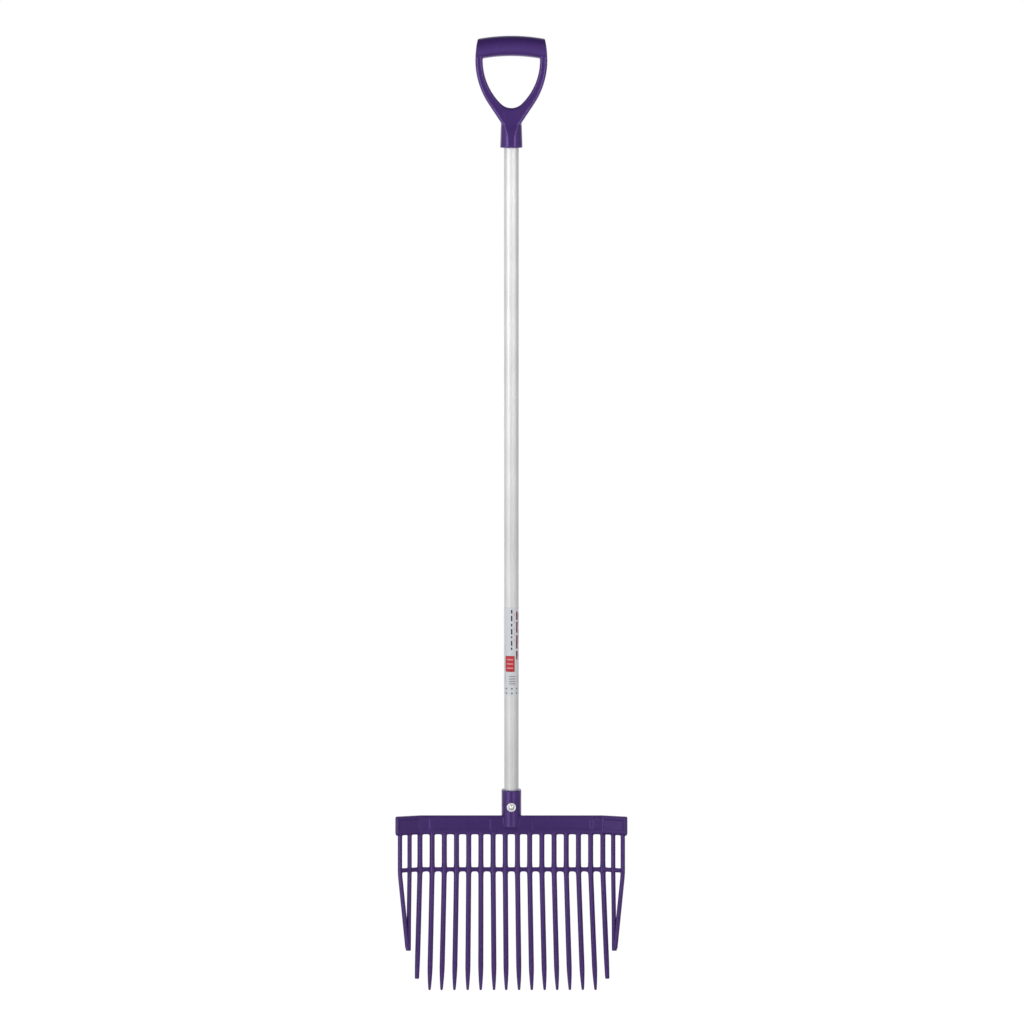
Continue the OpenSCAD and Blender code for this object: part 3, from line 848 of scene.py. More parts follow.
@dataclass
class ForkHead:
    """The moulded head: socket, header with wings, cross rail and twenty tines.

    The head has its own pitched frame, with Z = 0 at the top of the header and Y = 0 in its middle plane.
    """

    # The pitched frame: its place behind the axis and below the socket's rim, and its pitch in degrees.
    setback: float = 5.0
    header_drop: float = 42.3
    pitch: float = 8.0
    # The header beam and the wings that turn forwards at its ends.
    header_h: float = 31.3
    header_t: float = 8.0
    header_top_r: float = 3.4
    bevel_in: float = 3.6
    bevel_h: float = 5.0
    bend_x: float = 150.0
    bend_r: float = 7.0
    wing_len: float = 46.1
    wing_angle: float = 35.0
    wing_end_r: float = 1.2
    # The sunk panels of the header.
    panel_depth: float = 1.1
    panel_border: float = 5.4
    panel_low_border: float = 7.6
    panel_low_wall: float = 2.4
    panel_wall: float = 2.2
    panel_rib: float = 3.0
    panel_clear: float = 17.0
    panel_margin: float = 1.0
    land_depth: float = 0.3
    # The socket, with the seats of its washers, the saddle behind it and the web in front.
    socket_d: float = 32.6
    socket_len: float = 61.0
    bore_d: float = 24.2
    bore_len: float = 56.0
    rim_r: float = 1.0
    seat_d: float = 15.5
    seat_wall: float = 0.5
    bolt_drop: float = 27.0
    saddle_w: float = 30.3
    saddle_top_w: float = 8.2
    saddle_h: float = 14.6
    saddle_top: float = 1.2
    saddle_round: float = 5.0
    saddle_sink: float = 0.6
    web_r: float = 5.0
    web_foot_r: float = 2.0
    web_margin: float = 0.8
    web_fade: int = 5
    # The cross rail. Stations are far apart up to rail_coarse before the bend, and close from rail_fine.
    rail_t: float = 5.5
    rail_h: float = 7.3
    rail_r: float = 2.5
    rail_fine: float = 12.0
    rail_coarse: float = 14.0
    window_h: float = 53.5
    # The straight tines: how far each has set to the right at its end, and the rounds at header and rail.
    tine_count: int = 16
    tine_pitch: float = 20.0
    tine_d: float = 8.7
    tine_swell: float = 0.5
    tine_sets: tuple[float, ...] = (
        0.8, 1.2, 0.1, 0.3, 1.2, 1.8, 2.8, 1.9, 2.2, 2.2, 2.5, 2.2, 2.2, 2.6, 2.6, 1.9)
    root_depth: float = 6.5
    root_draw: float = 0.25
    root_r: float = 2.4
    rail_top_r: float = 1.3
    rail_low_r: float = 3.3
    round_power: int = 5
    reach: float = 193.0
    blunt_reach: float = 174.5
    taper: float = 42.0
    tip_d: float = 4.0
    tip_power: float = 1.7
    least_r: float = 0.15
    blunt_d: float = 7.2
    blunt_r: float = 1.4
    curve_r: float = 620.0
    curve_start: float = 1.6
    tip_len: float = 27.0
    spread_share: float = 0.035
    # The two tines of each wing: their places along it, and the brace that bends to the inner one's foot.
    wing_tines: tuple[float, float] = (20.3, 39.0)
    wing_spread: float = 2.2
    wing_tine_d: float = 7.4
    wing_foot_d: float = 8.4
    wing_foot_len: float = 60.0
    wing_rail_r: float = 1.0
    wing_reach: float = 127.5
    brace_drop: float = 2.0
    brace_bend: float = 9.0
    brace_out: float = 1.5
    segments: int = 28
    pieces: dict[str, bpy.types.Object] = field(default_factory=dict, init=False)

    @property
    def rim_z(self) -> float:
        """Height of the socket's rim, which is the top of the CAD head."""
        return float(node_box("fork_head")[1][2])

    @property
    def rail_top(self) -> float:
        """Depth of the rail's upper face below the top of the header."""
        return self.header_h + self.window_h

    @property
    def rail_mid(self) -> float:
        """Depth of the rail's middle below the top of the header."""
        return self.rail_top + self.rail_h / 2

    def place(self, points: np.ndarray) -> np.ndarray:
        """Carry points from the pitched frame to the fork's frame: turn about X, then move to the header.

        Args:
            points: Places in the pitched frame.

        Returns:
            The same places on the fork.
        """
        c, s = math.cos(math.radians(self.pitch)), math.sin(math.radians(self.pitch))
        x, y, z = np.moveaxis(points, -1, 0)
        top = self.rim_z - self.header_drop
        return np.stack([x, -self.setback + c * y + s * z, top - s * y + c * z], -1)

    def bent(self, u: np.ndarray) -> tuple[np.ndarray, np.ndarray]:
        """Follow the middle line of the header round both wings.

        The line is straight up to the bend, turns forwards on an arc of the bend's radius by the wing's
        angle, and is straight again along the wing; u is its length from the middle plane.

        Args:
            u: Lengths, negative to the left.

        Returns:
            Places in plan, and the unit vectors that point to the back.
        """
        turn = math.radians(self.wing_angle)
        start = self.bend_x - self.bend_r * math.tan(turn / 2)
        far, side = np.abs(u), np.sign(u)
        angle = np.clip((far - start) / self.bend_r, 0, turn)
        rest = np.maximum(far - start - self.bend_r * turn, 0)
        x = np.minimum(far, start) + self.bend_r * np.sin(angle) + rest * math.cos(turn)
        y = -self.bend_r * (1 - np.cos(angle)) - rest * math.sin(turn)
        return np.stack([side * x, y], -1), np.stack([side * np.sin(angle), np.cos(angle)], -1)

    def along(self, s: float) -> float:
        """Give the length on the rounded line of the place that lies s along the wing from its corner.

        Args:
            s: Length along the wing from the corner that it would have without its round.

        Returns:
            The length from the middle plane, along the rounded line.
        """
        turn = math.radians(self.wing_angle)
        cut = self.bend_r * math.tan(turn / 2)
        return self.bend_x - 2 * cut + self.bend_r * turn + s

    def panel_spans(self) -> tuple[tuple[float, float, float], ...]:
        """List the sunk panels of one half: the wide one, the shallow land beside the bend, and the wing's.

        Returns:
            The start and end of each along the header, and its depth as a share of the full depth.
        """
        split = self.bend_x - self.tine_pitch
        land = self.land_depth / self.panel_depth
        return ((self.socket_d / 2 + self.panel_clear, split, 1.0),
                (split + self.panel_rib, self.bend_x - self.panel_rib, land),
                (self.along(self.panel_rib), self.along(self.wing_len - self.panel_rib), 1.0))

    def panel_share(self, u: np.ndarray) -> np.ndarray:
        """Give how deep the sunk panels are along the header: each eases in and out over a wall's width.

        Args:
            u: Lengths along the header, negative to the left.

        Returns:
            The depth as a share of the full depth.
        """
        far, wall = np.abs(u), self.panel_wall
        return sum(share * smooth_step((far - a) / wall) * smooth_step((b - far) / wall)
                   for a, b, share in self.panel_spans())

    def header_section(self) -> tuple[np.ndarray, np.ndarray]:
        """Draw the header's section from its top middle, down the front and up the back.

        Returns:
            Rows of thickness and height, and the share of the panels' depth that each point takes.
        """
        half, h = self.header_t / 2, self.header_h
        top_r, border, wall = self.header_top_r, self.panel_border, self.panel_wall
        low_border, low_wall = self.panel_low_border, self.panel_low_wall
        z = np.concatenate([[-border + wall], -border - wall * np.linspace(0, 1, 6),
                            np.linspace(-border - wall, -h + low_border + low_wall, 7)[1:-1],
                            -h + low_border + low_wall * np.linspace(1, 0, 7),
                            [-h + low_border - self.panel_margin]])
        face = np.stack([np.full_like(z, -half), z], 1)
        bevel = arc((0, 0), 1, 180, 270, 9) * [self.bevel_in, self.bevel_h]
        bevel = bevel + [-half + self.bevel_in, -h + self.bevel_h]
        front = np.concatenate([
            [[0, 0]], arc((-half + top_r, -top_r), top_r, 90, 180, 7), face, bevel, [[0, -h]]])
        sunk = (smooth_step((-front[:, 1] - border) / wall)
                * smooth_step((front[:, 1] + h - low_border) / low_wall))
        back = front[-2:0:-1] * [-1, 1]
        return np.concatenate([front, back]), np.concatenate([sunk, sunk[-2:0:-1]])

    def header(self) -> Surface:
        """Carry the section along the bent line.

        Each face is let in by the panels' depth times the shares along and across the header, and the
        section draws in over the last stretch of each wing, so that the ends are rounded.

        Returns:
            The closed surface.
        """
        end = self.along(self.wing_len)
        edges = [edge for a, b, _ in self.panel_spans() for edge in (a, b)]
        near = 1.2 * self.panel_wall
        fine = np.concatenate([np.linspace(edge - near, edge + near, 15) for edge in edges])
        half = np.unique(np.round(np.concatenate([
            np.linspace(0, end - self.wing_end_r, 90), fine,
            end - self.wing_end_r * (1 - np.sin(np.radians(np.linspace(0, 90, 8))))]), 4))
        u = np.concatenate([-half[:0:-1], half])
        centre, back = self.bent(u)
        section, sunk = self.header_section()
        q = np.clip((np.abs(u) - end + self.wing_end_r) / self.wing_end_r, 0, 1)
        draw = self.wing_end_r * (1 - np.sqrt(1 - q * q))[:, None]
        middle = -self.header_h / 2
        depth = self.panel_depth * self.panel_share(u)[:, None] * sunk
        n = section[:, 0] * (1 - draw / (self.header_t / 2)) - np.sign(section[:, 0]) * depth
        z = middle + (section[:, 1] - middle) * (1 - draw / (self.header_h / 2))
        plan = centre[:, None] + back[:, None] * n[..., None]
        return capped_tube(self.place(np.concatenate([plan, z[..., None]], -1)))

    def rail(self) -> Surface:
        """Carry a rounded rectangle along the bent line, from one outer wing tine to the other.

        Returns:
            The closed surface.
        """
        end, fine, coarse = self.along(self.wing_tines[1]), self.rail_fine, self.rail_coarse
        u = np.concatenate([np.linspace(-end, -self.bend_x + fine, 30),
                            np.linspace(-self.bend_x + coarse, self.bend_x - coarse, 24),
                            np.linspace(self.bend_x - fine, end, 30)])
        centre, back = self.bent(u)
        half_t, half_h = np.full(len(u), self.rail_t / 2), np.full(len(u), self.rail_h / 2)
        outline = rounded_box(half_t, half_h, self.rail_r, 6)
        plan = centre[:, None] + back[:, None] * outline[..., :1]
        return capped_tube(self.place(np.concatenate([plan, outline[..., 1:] - self.rail_mid], -1)))

    def socket(self) -> Surface:
        """Turn the socket's wall about the tube's axis and let in the two flat washer seats.

        A point of the outside that lies within the seat's circle, seen along the bolt, is pressed in to
        the seat's plane; the press eases out over the seat's wall.

        Returns:
            The closed surface.
        """
        r, bore, rim, foot = self.socket_d / 2, self.bore_d / 2, self.rim_r, -self.socket_len
        wall = np.linspace(foot + rim, -rim, 150)
        profile = np.concatenate([
            [[FAN_R, foot]], arc((r - rim, foot + rim), rim, -90, 0, 6),
            np.stack([np.full_like(wall, r), wall], 1)[1:-1], arc((r - rim, -rim), rim, 0, 90, 6),
            arc((bore + rim / 2, -rim / 2), rim / 2, 90, 180, 4),
            [[bore, -self.bore_len / 2], [bore, -self.bore_len], [FAN_R, -self.bore_len]]])
        x, y, z = np.moveaxis(revolve(profile, 224), -1, 0)
        seat_r = self.seat_d / 2
        seat_y = math.sqrt(r * r - seat_r * seat_r)
        reach = np.hypot(x, z + self.bolt_drop)
        press = smooth_step((seat_r + self.seat_wall - reach) / self.seat_wall)
        flat = np.sign(y) * np.minimum(np.abs(y), seat_y)
        y = np.where(np.abs(y) > seat_y, y + (flat - y) * press, y)
        return capped_tube(np.stack([x, y, z + self.rim_z], -1))

    def saddle(self) -> Surface:
        """Swell the header's middle towards the socket at the back.

        In plan it stands saddle_h proud over saddle_top_w and falls to nothing at saddle_w on an ease
        curve, and it fades out at the top and at the bottom.

        Returns:
            The closed surface.
        """
        x = np.linspace(-self.saddle_w, self.saddle_w, 81)
        quarter = np.radians(np.linspace(0, 90, 9))
        fade = np.concatenate([np.sin(quarter), np.ones(8), np.sin(np.radians(np.linspace(90, 0, 9)))])
        low, high = -self.header_h + self.panel_border - self.panel_margin, -self.saddle_top
        edge = (1 - np.cos(quarter)) * self.saddle_round
        middle = np.linspace(low + self.saddle_round, high - self.saddle_round, 10)[1:-1]
        z = np.concatenate([low + edge, middle, high - edge[::-1]])
        fall = (np.abs(x) - self.saddle_top_w) / (self.saddle_w - self.saddle_top_w)
        back = self.saddle_h * (1 - smooth_step(fall))
        inner = self.header_t / 2 - self.saddle_sink
        behind = (inner + np.outer(fade, back))[:, ::-1]
        y = np.concatenate([np.full((len(z), len(x)), -inner), behind], 1)
        round_x = np.broadcast_to(np.concatenate([x, x[::-1]]), y.shape)
        rings = np.stack([round_x, y, np.repeat(z[:, None], y.shape[1], 1)], -1)
        return capped_tube(self.place(rings))

    def web(self) -> Surface:
        """Fill the corner between the socket and the header's front with a concave round.

        At each height a circle of the web's radius touches the socket's round from outside and the
        header's face: its centre lies R + r from the tube's axis and r in front of the face. The radius
        fades out towards the top of the header and the foot of the socket.

        Returns:
            The closed surface.
        """
        c, s = math.cos(math.radians(self.pitch)), math.sin(math.radians(self.pitch))
        half, big = self.header_t / 2, self.socket_d / 2
        top = self.rim_z - self.header_drop
        share = np.linspace(0, 1, 33)[:, None]
        height = self.socket_len - self.header_drop - 2 * self.web_margin
        z = self.rim_z - self.socket_len + self.web_margin + share * height
        face = self.setback + half * c - s * (z - top - half * s) / c
        r = self.web_foot_r + (self.web_r - self.web_foot_r) * share
        r = HAIR + r * np.sqrt(1 - np.abs(2 * share - 1) ** self.web_fade)
        centre = np.sqrt((big + r) ** 2 - (face + r) ** 2)
        touch = centre * big / (big + r)
        x = centre * np.concatenate([np.linspace(-1, 1, 97), np.linspace(1, -1, 5)])
        far = np.clip(np.abs(x), touch + HAIR, centre)
        front = -(face + r) + np.sqrt(np.maximum(r ** 2 - (centre - far) ** 2, 0))
        y = np.concatenate([front[:, :97], np.repeat(half - face, 5, 1)], 1)
        return capped_tube(np.stack([x, y, np.broadcast_to(z, x.shape)], -1))

    def centreline(self, start: np.ndarray, lean: float, levels: np.ndarray, reach: float) -> np.ndarray:
        """Follow the middle of a tine: straight down past the rail, then forwards on an arc, then straight.

        At the length t of the arc the drop is R sin(t / R) along the leaning direction and the way forwards
        is R (1 - cos(t / R)); the last tip_len goes on along the arc's end.

        Args:
            start: Place of the tine in plan.
            lean: Sideways lean below the rail, in radians.
            levels: Lengths below the top of the header.
            reach: Length of the tine below the rail.

        Returns:
            One place per level.
        """
        below = np.maximum(levels - self.rail_mid, 0)
        length = reach + self.rail_h / 2 - self.curve_start - self.tip_len
        t = np.clip(below - self.curve_start, 0, length) / self.curve_r
        rest = np.maximum(below - self.curve_start - length, 0)
        drop = np.minimum(below, self.curve_start) + self.curve_r * np.sin(t) + rest * np.cos(t)
        x = start[0] + drop * math.sin(lean)
        y = start[1] - self.curve_r * (1 - np.cos(t)) - rest * np.sin(t)
        z = -np.minimum(levels, self.rail_mid) - drop * math.cos(lean)
        return np.stack([x, y, z], -1)

    def tine_rings(
            self, path: np.ndarray, levels: np.ndarray, radius: np.ndarray, low_r: float,
            webs: tuple[float, float] = (0.0, 0.0), rail: tuple[float, float] = (1.0, 1.0)) -> np.ndarray:
        """Carry a round section along a tine, with concave rounds where it meets the header and the rail.

        At the angle a the point of the circle moves by the round's extra width times a power of cos (a - w)
        along the line at the angle w, so the rounds are thin webs that lie in the comb, or turn with it at
        the wings.

        Args:
            path: Middle line of the tine.
            levels: Length of each station below the top of the header.
            radius: Radius at each station.
            low_r: Radius of the round under the rail.
            webs: Angles of the webs' lines on the left and on the right, in radians.
            rail: Share of the rail's rounds on the left and on the right, zero where the rail ends.

        Returns:
            The rings of the tine.
        """
        root = fillet(levels - self.header_h, self.root_r)
        cross = fillet(self.rail_top - levels, self.rail_top_r)
        cross = cross + fillet(levels - self.rail_top - self.rail_h, low_r)
        radius = radius * (1 - self.root_draw * smooth_step((self.header_h - levels) / self.root_depth))
        turn = np.linspace(0, 2 * np.pi, self.segments, endpoint=False)
        ring = np.stack([np.cos(turn), np.sin(turn)], -1)
        outline = radius[:, None, None] * ring
        for sign, angle, share in zip((-1, 1), webs, rail):
            way = sign * np.array([math.cos(angle), math.sin(angle)])
            near = np.maximum(ring @ way, 0) ** self.round_power
            outline = outline + ((root + share * cross)[:, None] * near)[..., None] * way
        return carry(path, outline)

    def stations(self, low_r: float, end: float) -> np.ndarray:
        """Spread stations along a tine from its root, close together at the rounds.

        Args:
            low_r: Radius of the round under the rail.
            end: Level of the last station.

        Returns:
            Lengths below the top of the header.
        """
        head, top, foot = self.header_h, self.rail_top, self.rail_top + self.rail_h
        ease = 1 - np.cos(np.radians(np.linspace(0, 90, 8)))
        return np.concatenate([
            np.linspace(head - self.root_depth, head - HAIR, 8), head + self.root_r * ease,
            np.linspace(head + self.root_r, top - self.rail_top_r, 8)[1:-1],
            top - self.rail_top_r * ease[::-1], np.linspace(top + HAIR, foot - HAIR, 12),
            foot + low_r * ease, np.linspace(foot + low_r, end, 26)[1:]])

    def tine(self, x: float, tip: Tip, sideways: float) -> Surface:
        """Make one straight tine.

        The radius is even but for a swell where the rail crosses, a bell curve of the level, and ends in
        an ogive with a round point, or in a blunt end with a rounded rim.

        Args:
            x: Place along the header.
            tip: How the tine ends.
            sideways: How far the end has set to the right since the moulding.

        Returns:
            The closed surface.
        """
        pointed = tip is Tip.POINTED
        reach = self.reach if pointed else self.blunt_reach
        end = self.rail_top + self.rail_h + reach
        start = end - self.taper
        ease = np.sin(np.radians(np.linspace(0, 90, 26)))[1:-1]
        levels = np.concatenate([
            self.stations(self.rail_low_r, start), start + (end - start) * ease, [end - TIP_GAP]])
        radius = np.full_like(levels, self.tine_d / 2)
        radius += self.tine_swell * np.exp(-((levels - self.rail_mid) / self.rail_h) ** 2)
        q = np.clip((levels - start) / (end - start), 0, 1)
        tip_r = (self.tip_d if pointed else self.blunt_d) / 2
        rim = tip_r if pointed else self.blunt_r
        round_q = np.clip((levels - end + rim) / rim, 0, 1)
        radius += (tip_r - self.tine_d / 2) * q ** self.tip_power - rim * (1 - np.sqrt(1 - round_q ** 2))
        radius = np.maximum(radius, self.least_r)
        lean = math.atan2(self.spread_share * x + sideways, self.reach)
        path = self.centreline(np.array([x, 0.0]), lean, levels, reach)
        turned = math.radians(self.wing_angle)
        webs = (-turned if x == -self.bend_x else 0.0, turned if x == self.bend_x else 0.0)
        return capped_tube(self.place(self.tine_rings(path, levels, radius, self.rail_low_r, webs)))

    def wing_pair(self, side: Side) -> list[Surface]:
        """Make the two tines of one wing: an inner one that curves forwards, and a brace to its foot.

        The brace goes straight down past the rail, turns on a curve of second degree about its knee, and
        runs straight to the inner tine's foot.

        Args:
            side: Which wing.

        Returns:
            The two closed surfaces.
        """
        sign, low_r = side.value, self.wing_rail_r
        inner, outer = (self.bent(np.array([sign * self.along(far)]))[0][0] for far in self.wing_tines)
        end = self.rail_top + self.rail_h + self.wing_reach
        start = end - self.blunt_r
        ease = np.sin(np.radians(np.linspace(0, 90, 10)))[1:-1]
        levels = np.concatenate([
            self.stations(low_r, start), start + self.blunt_r * ease, [end - TIP_GAP]])
        share = smooth_step((levels - end + self.wing_foot_len) / self.wing_foot_len)
        q = np.clip((levels - start) / self.blunt_r, 0, 1)
        radius = (self.wing_tine_d + (self.wing_foot_d - self.wing_tine_d) * share) / 2
        radius = np.maximum(radius - self.blunt_r * (1 - np.sqrt(1 - q ** 2)), self.least_r)
        lean = math.atan2(self.wing_spread * sign, self.reach)
        path = self.centreline(inner, lean, levels, self.wing_reach)
        webs = (sign * math.radians(self.wing_angle),) * 2
        made = [capped_tube(self.place(self.tine_rings(path, levels, radius, low_r, webs)))]
        foot = self.centreline(inner, lean, np.array([end - self.wing_foot_d / 2]), self.wing_reach)[0]
        foot = foot + [sign * self.brace_out, 0, 0]
        knee = np.array([outer[0], outer[1], -self.rail_top - self.rail_h - self.brace_drop])
        way = (foot - knee) / np.linalg.norm(foot - knee)
        t = np.linspace(0, 1, 14)[:, None]
        bend_top, bend_low = knee + [0, 0, self.brace_bend], knee + way * self.brace_bend
        bend = (1 - t) ** 2 * bend_top + 2 * t * (1 - t) * knee + t ** 2 * bend_low
        upper = -self.stations(low_r, -bend_top[2])
        upper = upper[upper > bend_top[2] + 1]
        column = np.stack([np.full_like(upper, outer[0]), np.full_like(upper, outer[1]), upper], -1)
        lower = bend_low + (foot - bend_low) * np.linspace(0, 1, 12)[1:, None]
        brace = np.concatenate([column, bend, lower])
        thin = np.full(len(brace), self.wing_tine_d / 2)
        inside = (0.0, 1.0) if side is Side.LEFT else (1.0, 0.0)
        rings = self.tine_rings(brace, -brace[:, 2], thin, low_r, webs, inside)
        return made + [capped_tube(self.place(rings))]

    def build(self) -> None:
        """Make the head's body and its comb."""
        body = [self.header(), self.socket(), self.saddle(), self.web()]
        places = [(i - (self.tine_count - 1) / 2) * self.tine_pitch for i in range(self.tine_count)]
        comb = [self.rail()]
        tips = [Tip.BLUNT if abs(x) == self.bend_x else Tip.POINTED for x in places]
        comb += [self.tine(x, tip, away) for x, tip, away in zip(places, tips, self.tine_sets)]
        comb += [surface for side in Side for surface in self.wing_pair(side)]
        for part, name, surfaces in (("body", "head_header_and_socket", body), ("comb", "head_comb", comb)):
            self.pieces[part] = settle(mesh_object(name, surfaces), "purple_moulding", "fork_head")

    def dress(self, plastic: bpy.types.Material) -> None:
        """Give both pieces the moulded plastic."""
        for piece in self.pieces.values():
            paint(piece, plastic)


@dataclass
class DGrip:
    """The moulded D-grip: an arched bar, two arms, a yoke and a socket, blended into one skin."""

    # The arched bar and its ends.
    bar_d: float = 32.3
    bar_arch_r: float = 280.0
    bar_edge_r: float = 0.5
    bar_end_r: float = 155.0
    bar_end_inset: float = 0.3
    # The outline: the grip's sides, widest at a drop below the origin, and the eye within them.
    grip_w: float = 115.0
    side_r: float = 124.0
    wide_drop: float = 6.6
    eye_w: float = 91.0
    eye_h: float = 82.0
    eye_foot_r: float = 23.6
    outside_top: float = 0.55
    eye_top: float = 0.3
    neck_overlap: float = 1.18
    arm_depth: float = 21.0
    arm_edge_r: float = 4.8
    yoke_h: float = 23.2
    # The socket: a slow cone with a leaf at front and back, whose top goes up into the yoke.
    neck_d: float = 33.5
    mouth_d: float = 36.0
    bore_d: float = 24.2
    socket_len: float = 40.0
    insert: float = 29.0
    neck_depth: float = 25.6
    neck_swell: float = 50.0
    leaf_len: float = 13.0
    leaf_power: float = 2.0
    leaf_inset: float = 0.5
    mouth_r: float = 1.4
    bore_edge: float = 6.0
    crown_share: float = 0.7
    crown_rise: tuple[float, float] = (6.0, 9.0)
    seat_d: float = 8.1
    seat_clear: float = 0.3
    screw_rise: float = 13.0
    # The skin over the three forms: its voxels, and how much and how often it is smoothed.
    skin_mm: float = 0.7
    skin_ease: float = 0.5
    skin_passes: int = 6
    pieces: dict[str, bpy.types.Object] = field(default_factory=dict, init=False)

    @property
    def neck_z(self) -> float:
        """Height of the neck, where the yoke meets the socket."""
        return -self.eye_h - self.yoke_h

    def end_x(self, z: np.ndarray) -> np.ndarray:
        """Give the half length of the bar at a height: an arc of the end's radius, just inside the side."""
        centre = self.bar_end_r - self.grip_w / 2
        return np.sqrt((self.bar_end_r - self.bar_end_inset) ** 2 - (z + self.wide_drop) ** 2) - centre

    def bar(self) -> Surface:
        """Carry the bar's round along its arch and close it with ends that follow the grip's sides.

        The line at the angle a round the bar is an arc of radius R + r cos a; it runs out to the grip's
        side, where the edge is rounded and the end is a disc drawn on the side's own curve.

        Returns:
            The closed surface.
        """
        r, big, e = self.bar_d / 2, self.bar_arch_r, self.bar_edge_r
        centre = r - big
        a = np.linspace(0, 2 * np.pi, 96, endpoint=False)

        def station(share: float, inset: float, out: float) -> np.ndarray:
            """Give one ring of the bar; its end is found by going to and fro between arch and side.

            Args:
                share: Share of the way to the right-hand end.
                inset: How much smaller than the bar's full round the ring is.
                out: How far before the grip's side the end lies.

            Returns:
                The points of the ring.
            """
            ring = big + (r - inset) * np.cos(a)
            x = np.full_like(a, self.grip_w / 2)
            for _ in range(6):
                x = self.end_x(centre + np.sqrt(ring ** 2 - x ** 2)) - out
            x = x * share
            return np.stack([x, (r - inset) * np.sin(a), centre + np.sqrt(ring ** 2 - x ** 2)], -1)

        turns = np.radians(np.linspace(0, 90, 6))
        edge = [station(1, e * (1 - math.cos(t)), e * (1 - math.sin(t))) for t in turns]
        disc = [station(1, e + (r - e) * q, 0) for q in (0.2, 0.4, 0.6, 0.8, 0.95)]
        right = edge + disc
        left = [ring * [-1, 1, 1] for ring in right[::-1]]
        body = [station(share, 0, e) for share in np.linspace(-1, 1, 48)[1:-1]]
        return capped_tube(np.stack(left + body + right))

    def outlines(self) -> tuple[np.ndarray, np.ndarray]:
        """Draw the right half of the grip's outside and of its eye, point for point.

        The outside is the side's arc and then its tangent down to the neck; the eye's side is an arc that
        runs tangent into the round of its foot.

        Returns:
            Rows of X and Z for the outside and for the eye, from the top down to the middle plane.
        """
        drop, foot_r, half_w = self.eye_h - self.wide_drop, self.eye_foot_r, self.eye_w / 2
        eye_r = (drop * (drop - 2 * foot_r) + half_w ** 2) / (self.eye_w - 2 * foot_r)
        eye_x, foot_z = eye_r - half_w, foot_r - self.eye_h
        join_z = -self.wide_drop + (foot_z + self.wide_drop) * eye_r / (eye_r - foot_r)
        centre = self.side_r - self.grip_w / 2
        run = np.array([self.neck_d / 2 + centre, self.neck_z + self.wide_drop])
        line = math.sqrt(run @ run - self.side_r ** 2)
        turn = math.atan2(-run[1], -run[0]) - math.atan2(self.side_r, line)
        corner = np.array([self.neck_d / 2, self.neck_z])
        shoulder = corner + line * np.array([math.cos(turn), math.sin(turn)])

        def arc_of(radius: float, x: float, top: float, low: float, steps: int) -> np.ndarray:
            """Give the arc about (-x, -wide_drop) between two heights."""
            angle = [math.degrees(math.asin((z + self.wide_drop) / radius)) for z in (top, low)]
            return arc((-x, -self.wide_drop), radius, angle[0], angle[1], steps)

        steps, foot_steps = 48, 28
        outside = np.concatenate([
            arc_of(self.side_r, centre, self.outside_top * self.bar_d, shoulder[1], steps),
            shoulder + (corner - shoulder) * self.neck_overlap * np.linspace(0, 1, foot_steps)[1:, None]])
        low = math.degrees(math.asin((join_z + self.wide_drop) / eye_r))
        eye = np.concatenate([arc_of(eye_r, eye_x, self.eye_top * self.bar_d, join_z, steps),
                              arc((0, foot_z), foot_r, low, -90, foot_steps)[1:]])
        end = np.array([[0, outside[-1, 1]]])
        return np.concatenate([outside[:-1], end]), eye

    def arms(self) -> Surface:
        """Carry a rounded section round the eye, between the outside and the eye's edge, as one hoop.

        The section is as wide as the two outlines are apart, and its depth eases from the arms' depth to
        the neck's.

        Returns:
            The closed surface.
        """
        outside, eye = self.outlines()
        middle, reach = (outside + eye) / 2, (outside - eye) / 2
        half = np.linalg.norm(reach, axis=1)
        across = reach / half[:, None]
        swell = smooth_step((self.neck_swell - middle[:, 1] + self.neck_z) / self.neck_swell)
        depth = self.arm_depth + (self.neck_depth - self.arm_depth) * swell
        outline = rounded_box(half, depth / 2, self.arm_edge_r, 8)
        plan = middle[:, None] + across[:, None] * outline[..., :1]
        right = np.stack([plan[..., 0], outline[..., 1], plan[..., 1]], -1)
        left = right[-2::-1] * [-1, 1, 1]
        return closed_loop(np.concatenate([right, left]))

    def socket(self) -> Surface:
        """Turn the socket's slow cone, cut a leaf at front and back, and let in the screw's seat.

        The leaf is the yoke's flat face running out on the round: below the neck its distance from the
        axis goes from the yoke's half depth to just under the cone's radius, as
        1 - exp(-(drop / length)^power). The screw's seat is a flat at the back.

        Returns:
            The closed surface.
        """
        mouth = self.neck_z - self.socket_len
        r0, r1, e, bore = self.mouth_d / 2, self.neck_d / 2, self.mouth_r, self.bore_d / 2
        wall = np.linspace(0, 1, 70)
        cone = np.stack([r0 + (r1 - r0) * wall, mouth + e + (self.socket_len - e) * wall], 1)
        inside = np.concatenate([
            [[FAN_R, mouth + self.insert], [bore, mouth + self.insert], [bore, mouth + self.bore_edge]],
            arc((bore + e / 2, mouth + e / 2), e / 2, 180, 270, 4)])
        outside = np.concatenate([arc((r0 - e, mouth + e), e, -90, 0, 6), cone[1:],
                                  [[r1 * self.crown_share, self.neck_z + self.crown_rise[0]],
                                   [FAN_R, self.neck_z + self.crown_rise[1]]]])
        turn = np.linspace(0, 2 * np.pi, 160, endpoint=False)
        r, z = outside[:, :1], outside[:, 1:]
        drop = np.maximum(self.neck_z - z, 0)
        low = r - self.leaf_inset
        depth = low - (low - self.neck_depth / 2) * np.exp(-(drop / self.leaf_len) ** self.leaf_power)
        x, z = r * np.cos(turn), np.broadcast_to(z, (len(r), len(turn)))
        y = np.clip(r * np.sin(turn), -depth, depth)
        seat_r = self.seat_d / 2
        round_r = r0 + (r1 - r0) * self.screw_rise / self.socket_len
        seat_y = math.sqrt(round_r ** 2 - seat_r ** 2)
        seat = np.hypot(x, z - mouth - self.screw_rise) < seat_r + self.seat_clear
        y = np.where(seat & (y > seat_y), seat_y, y)
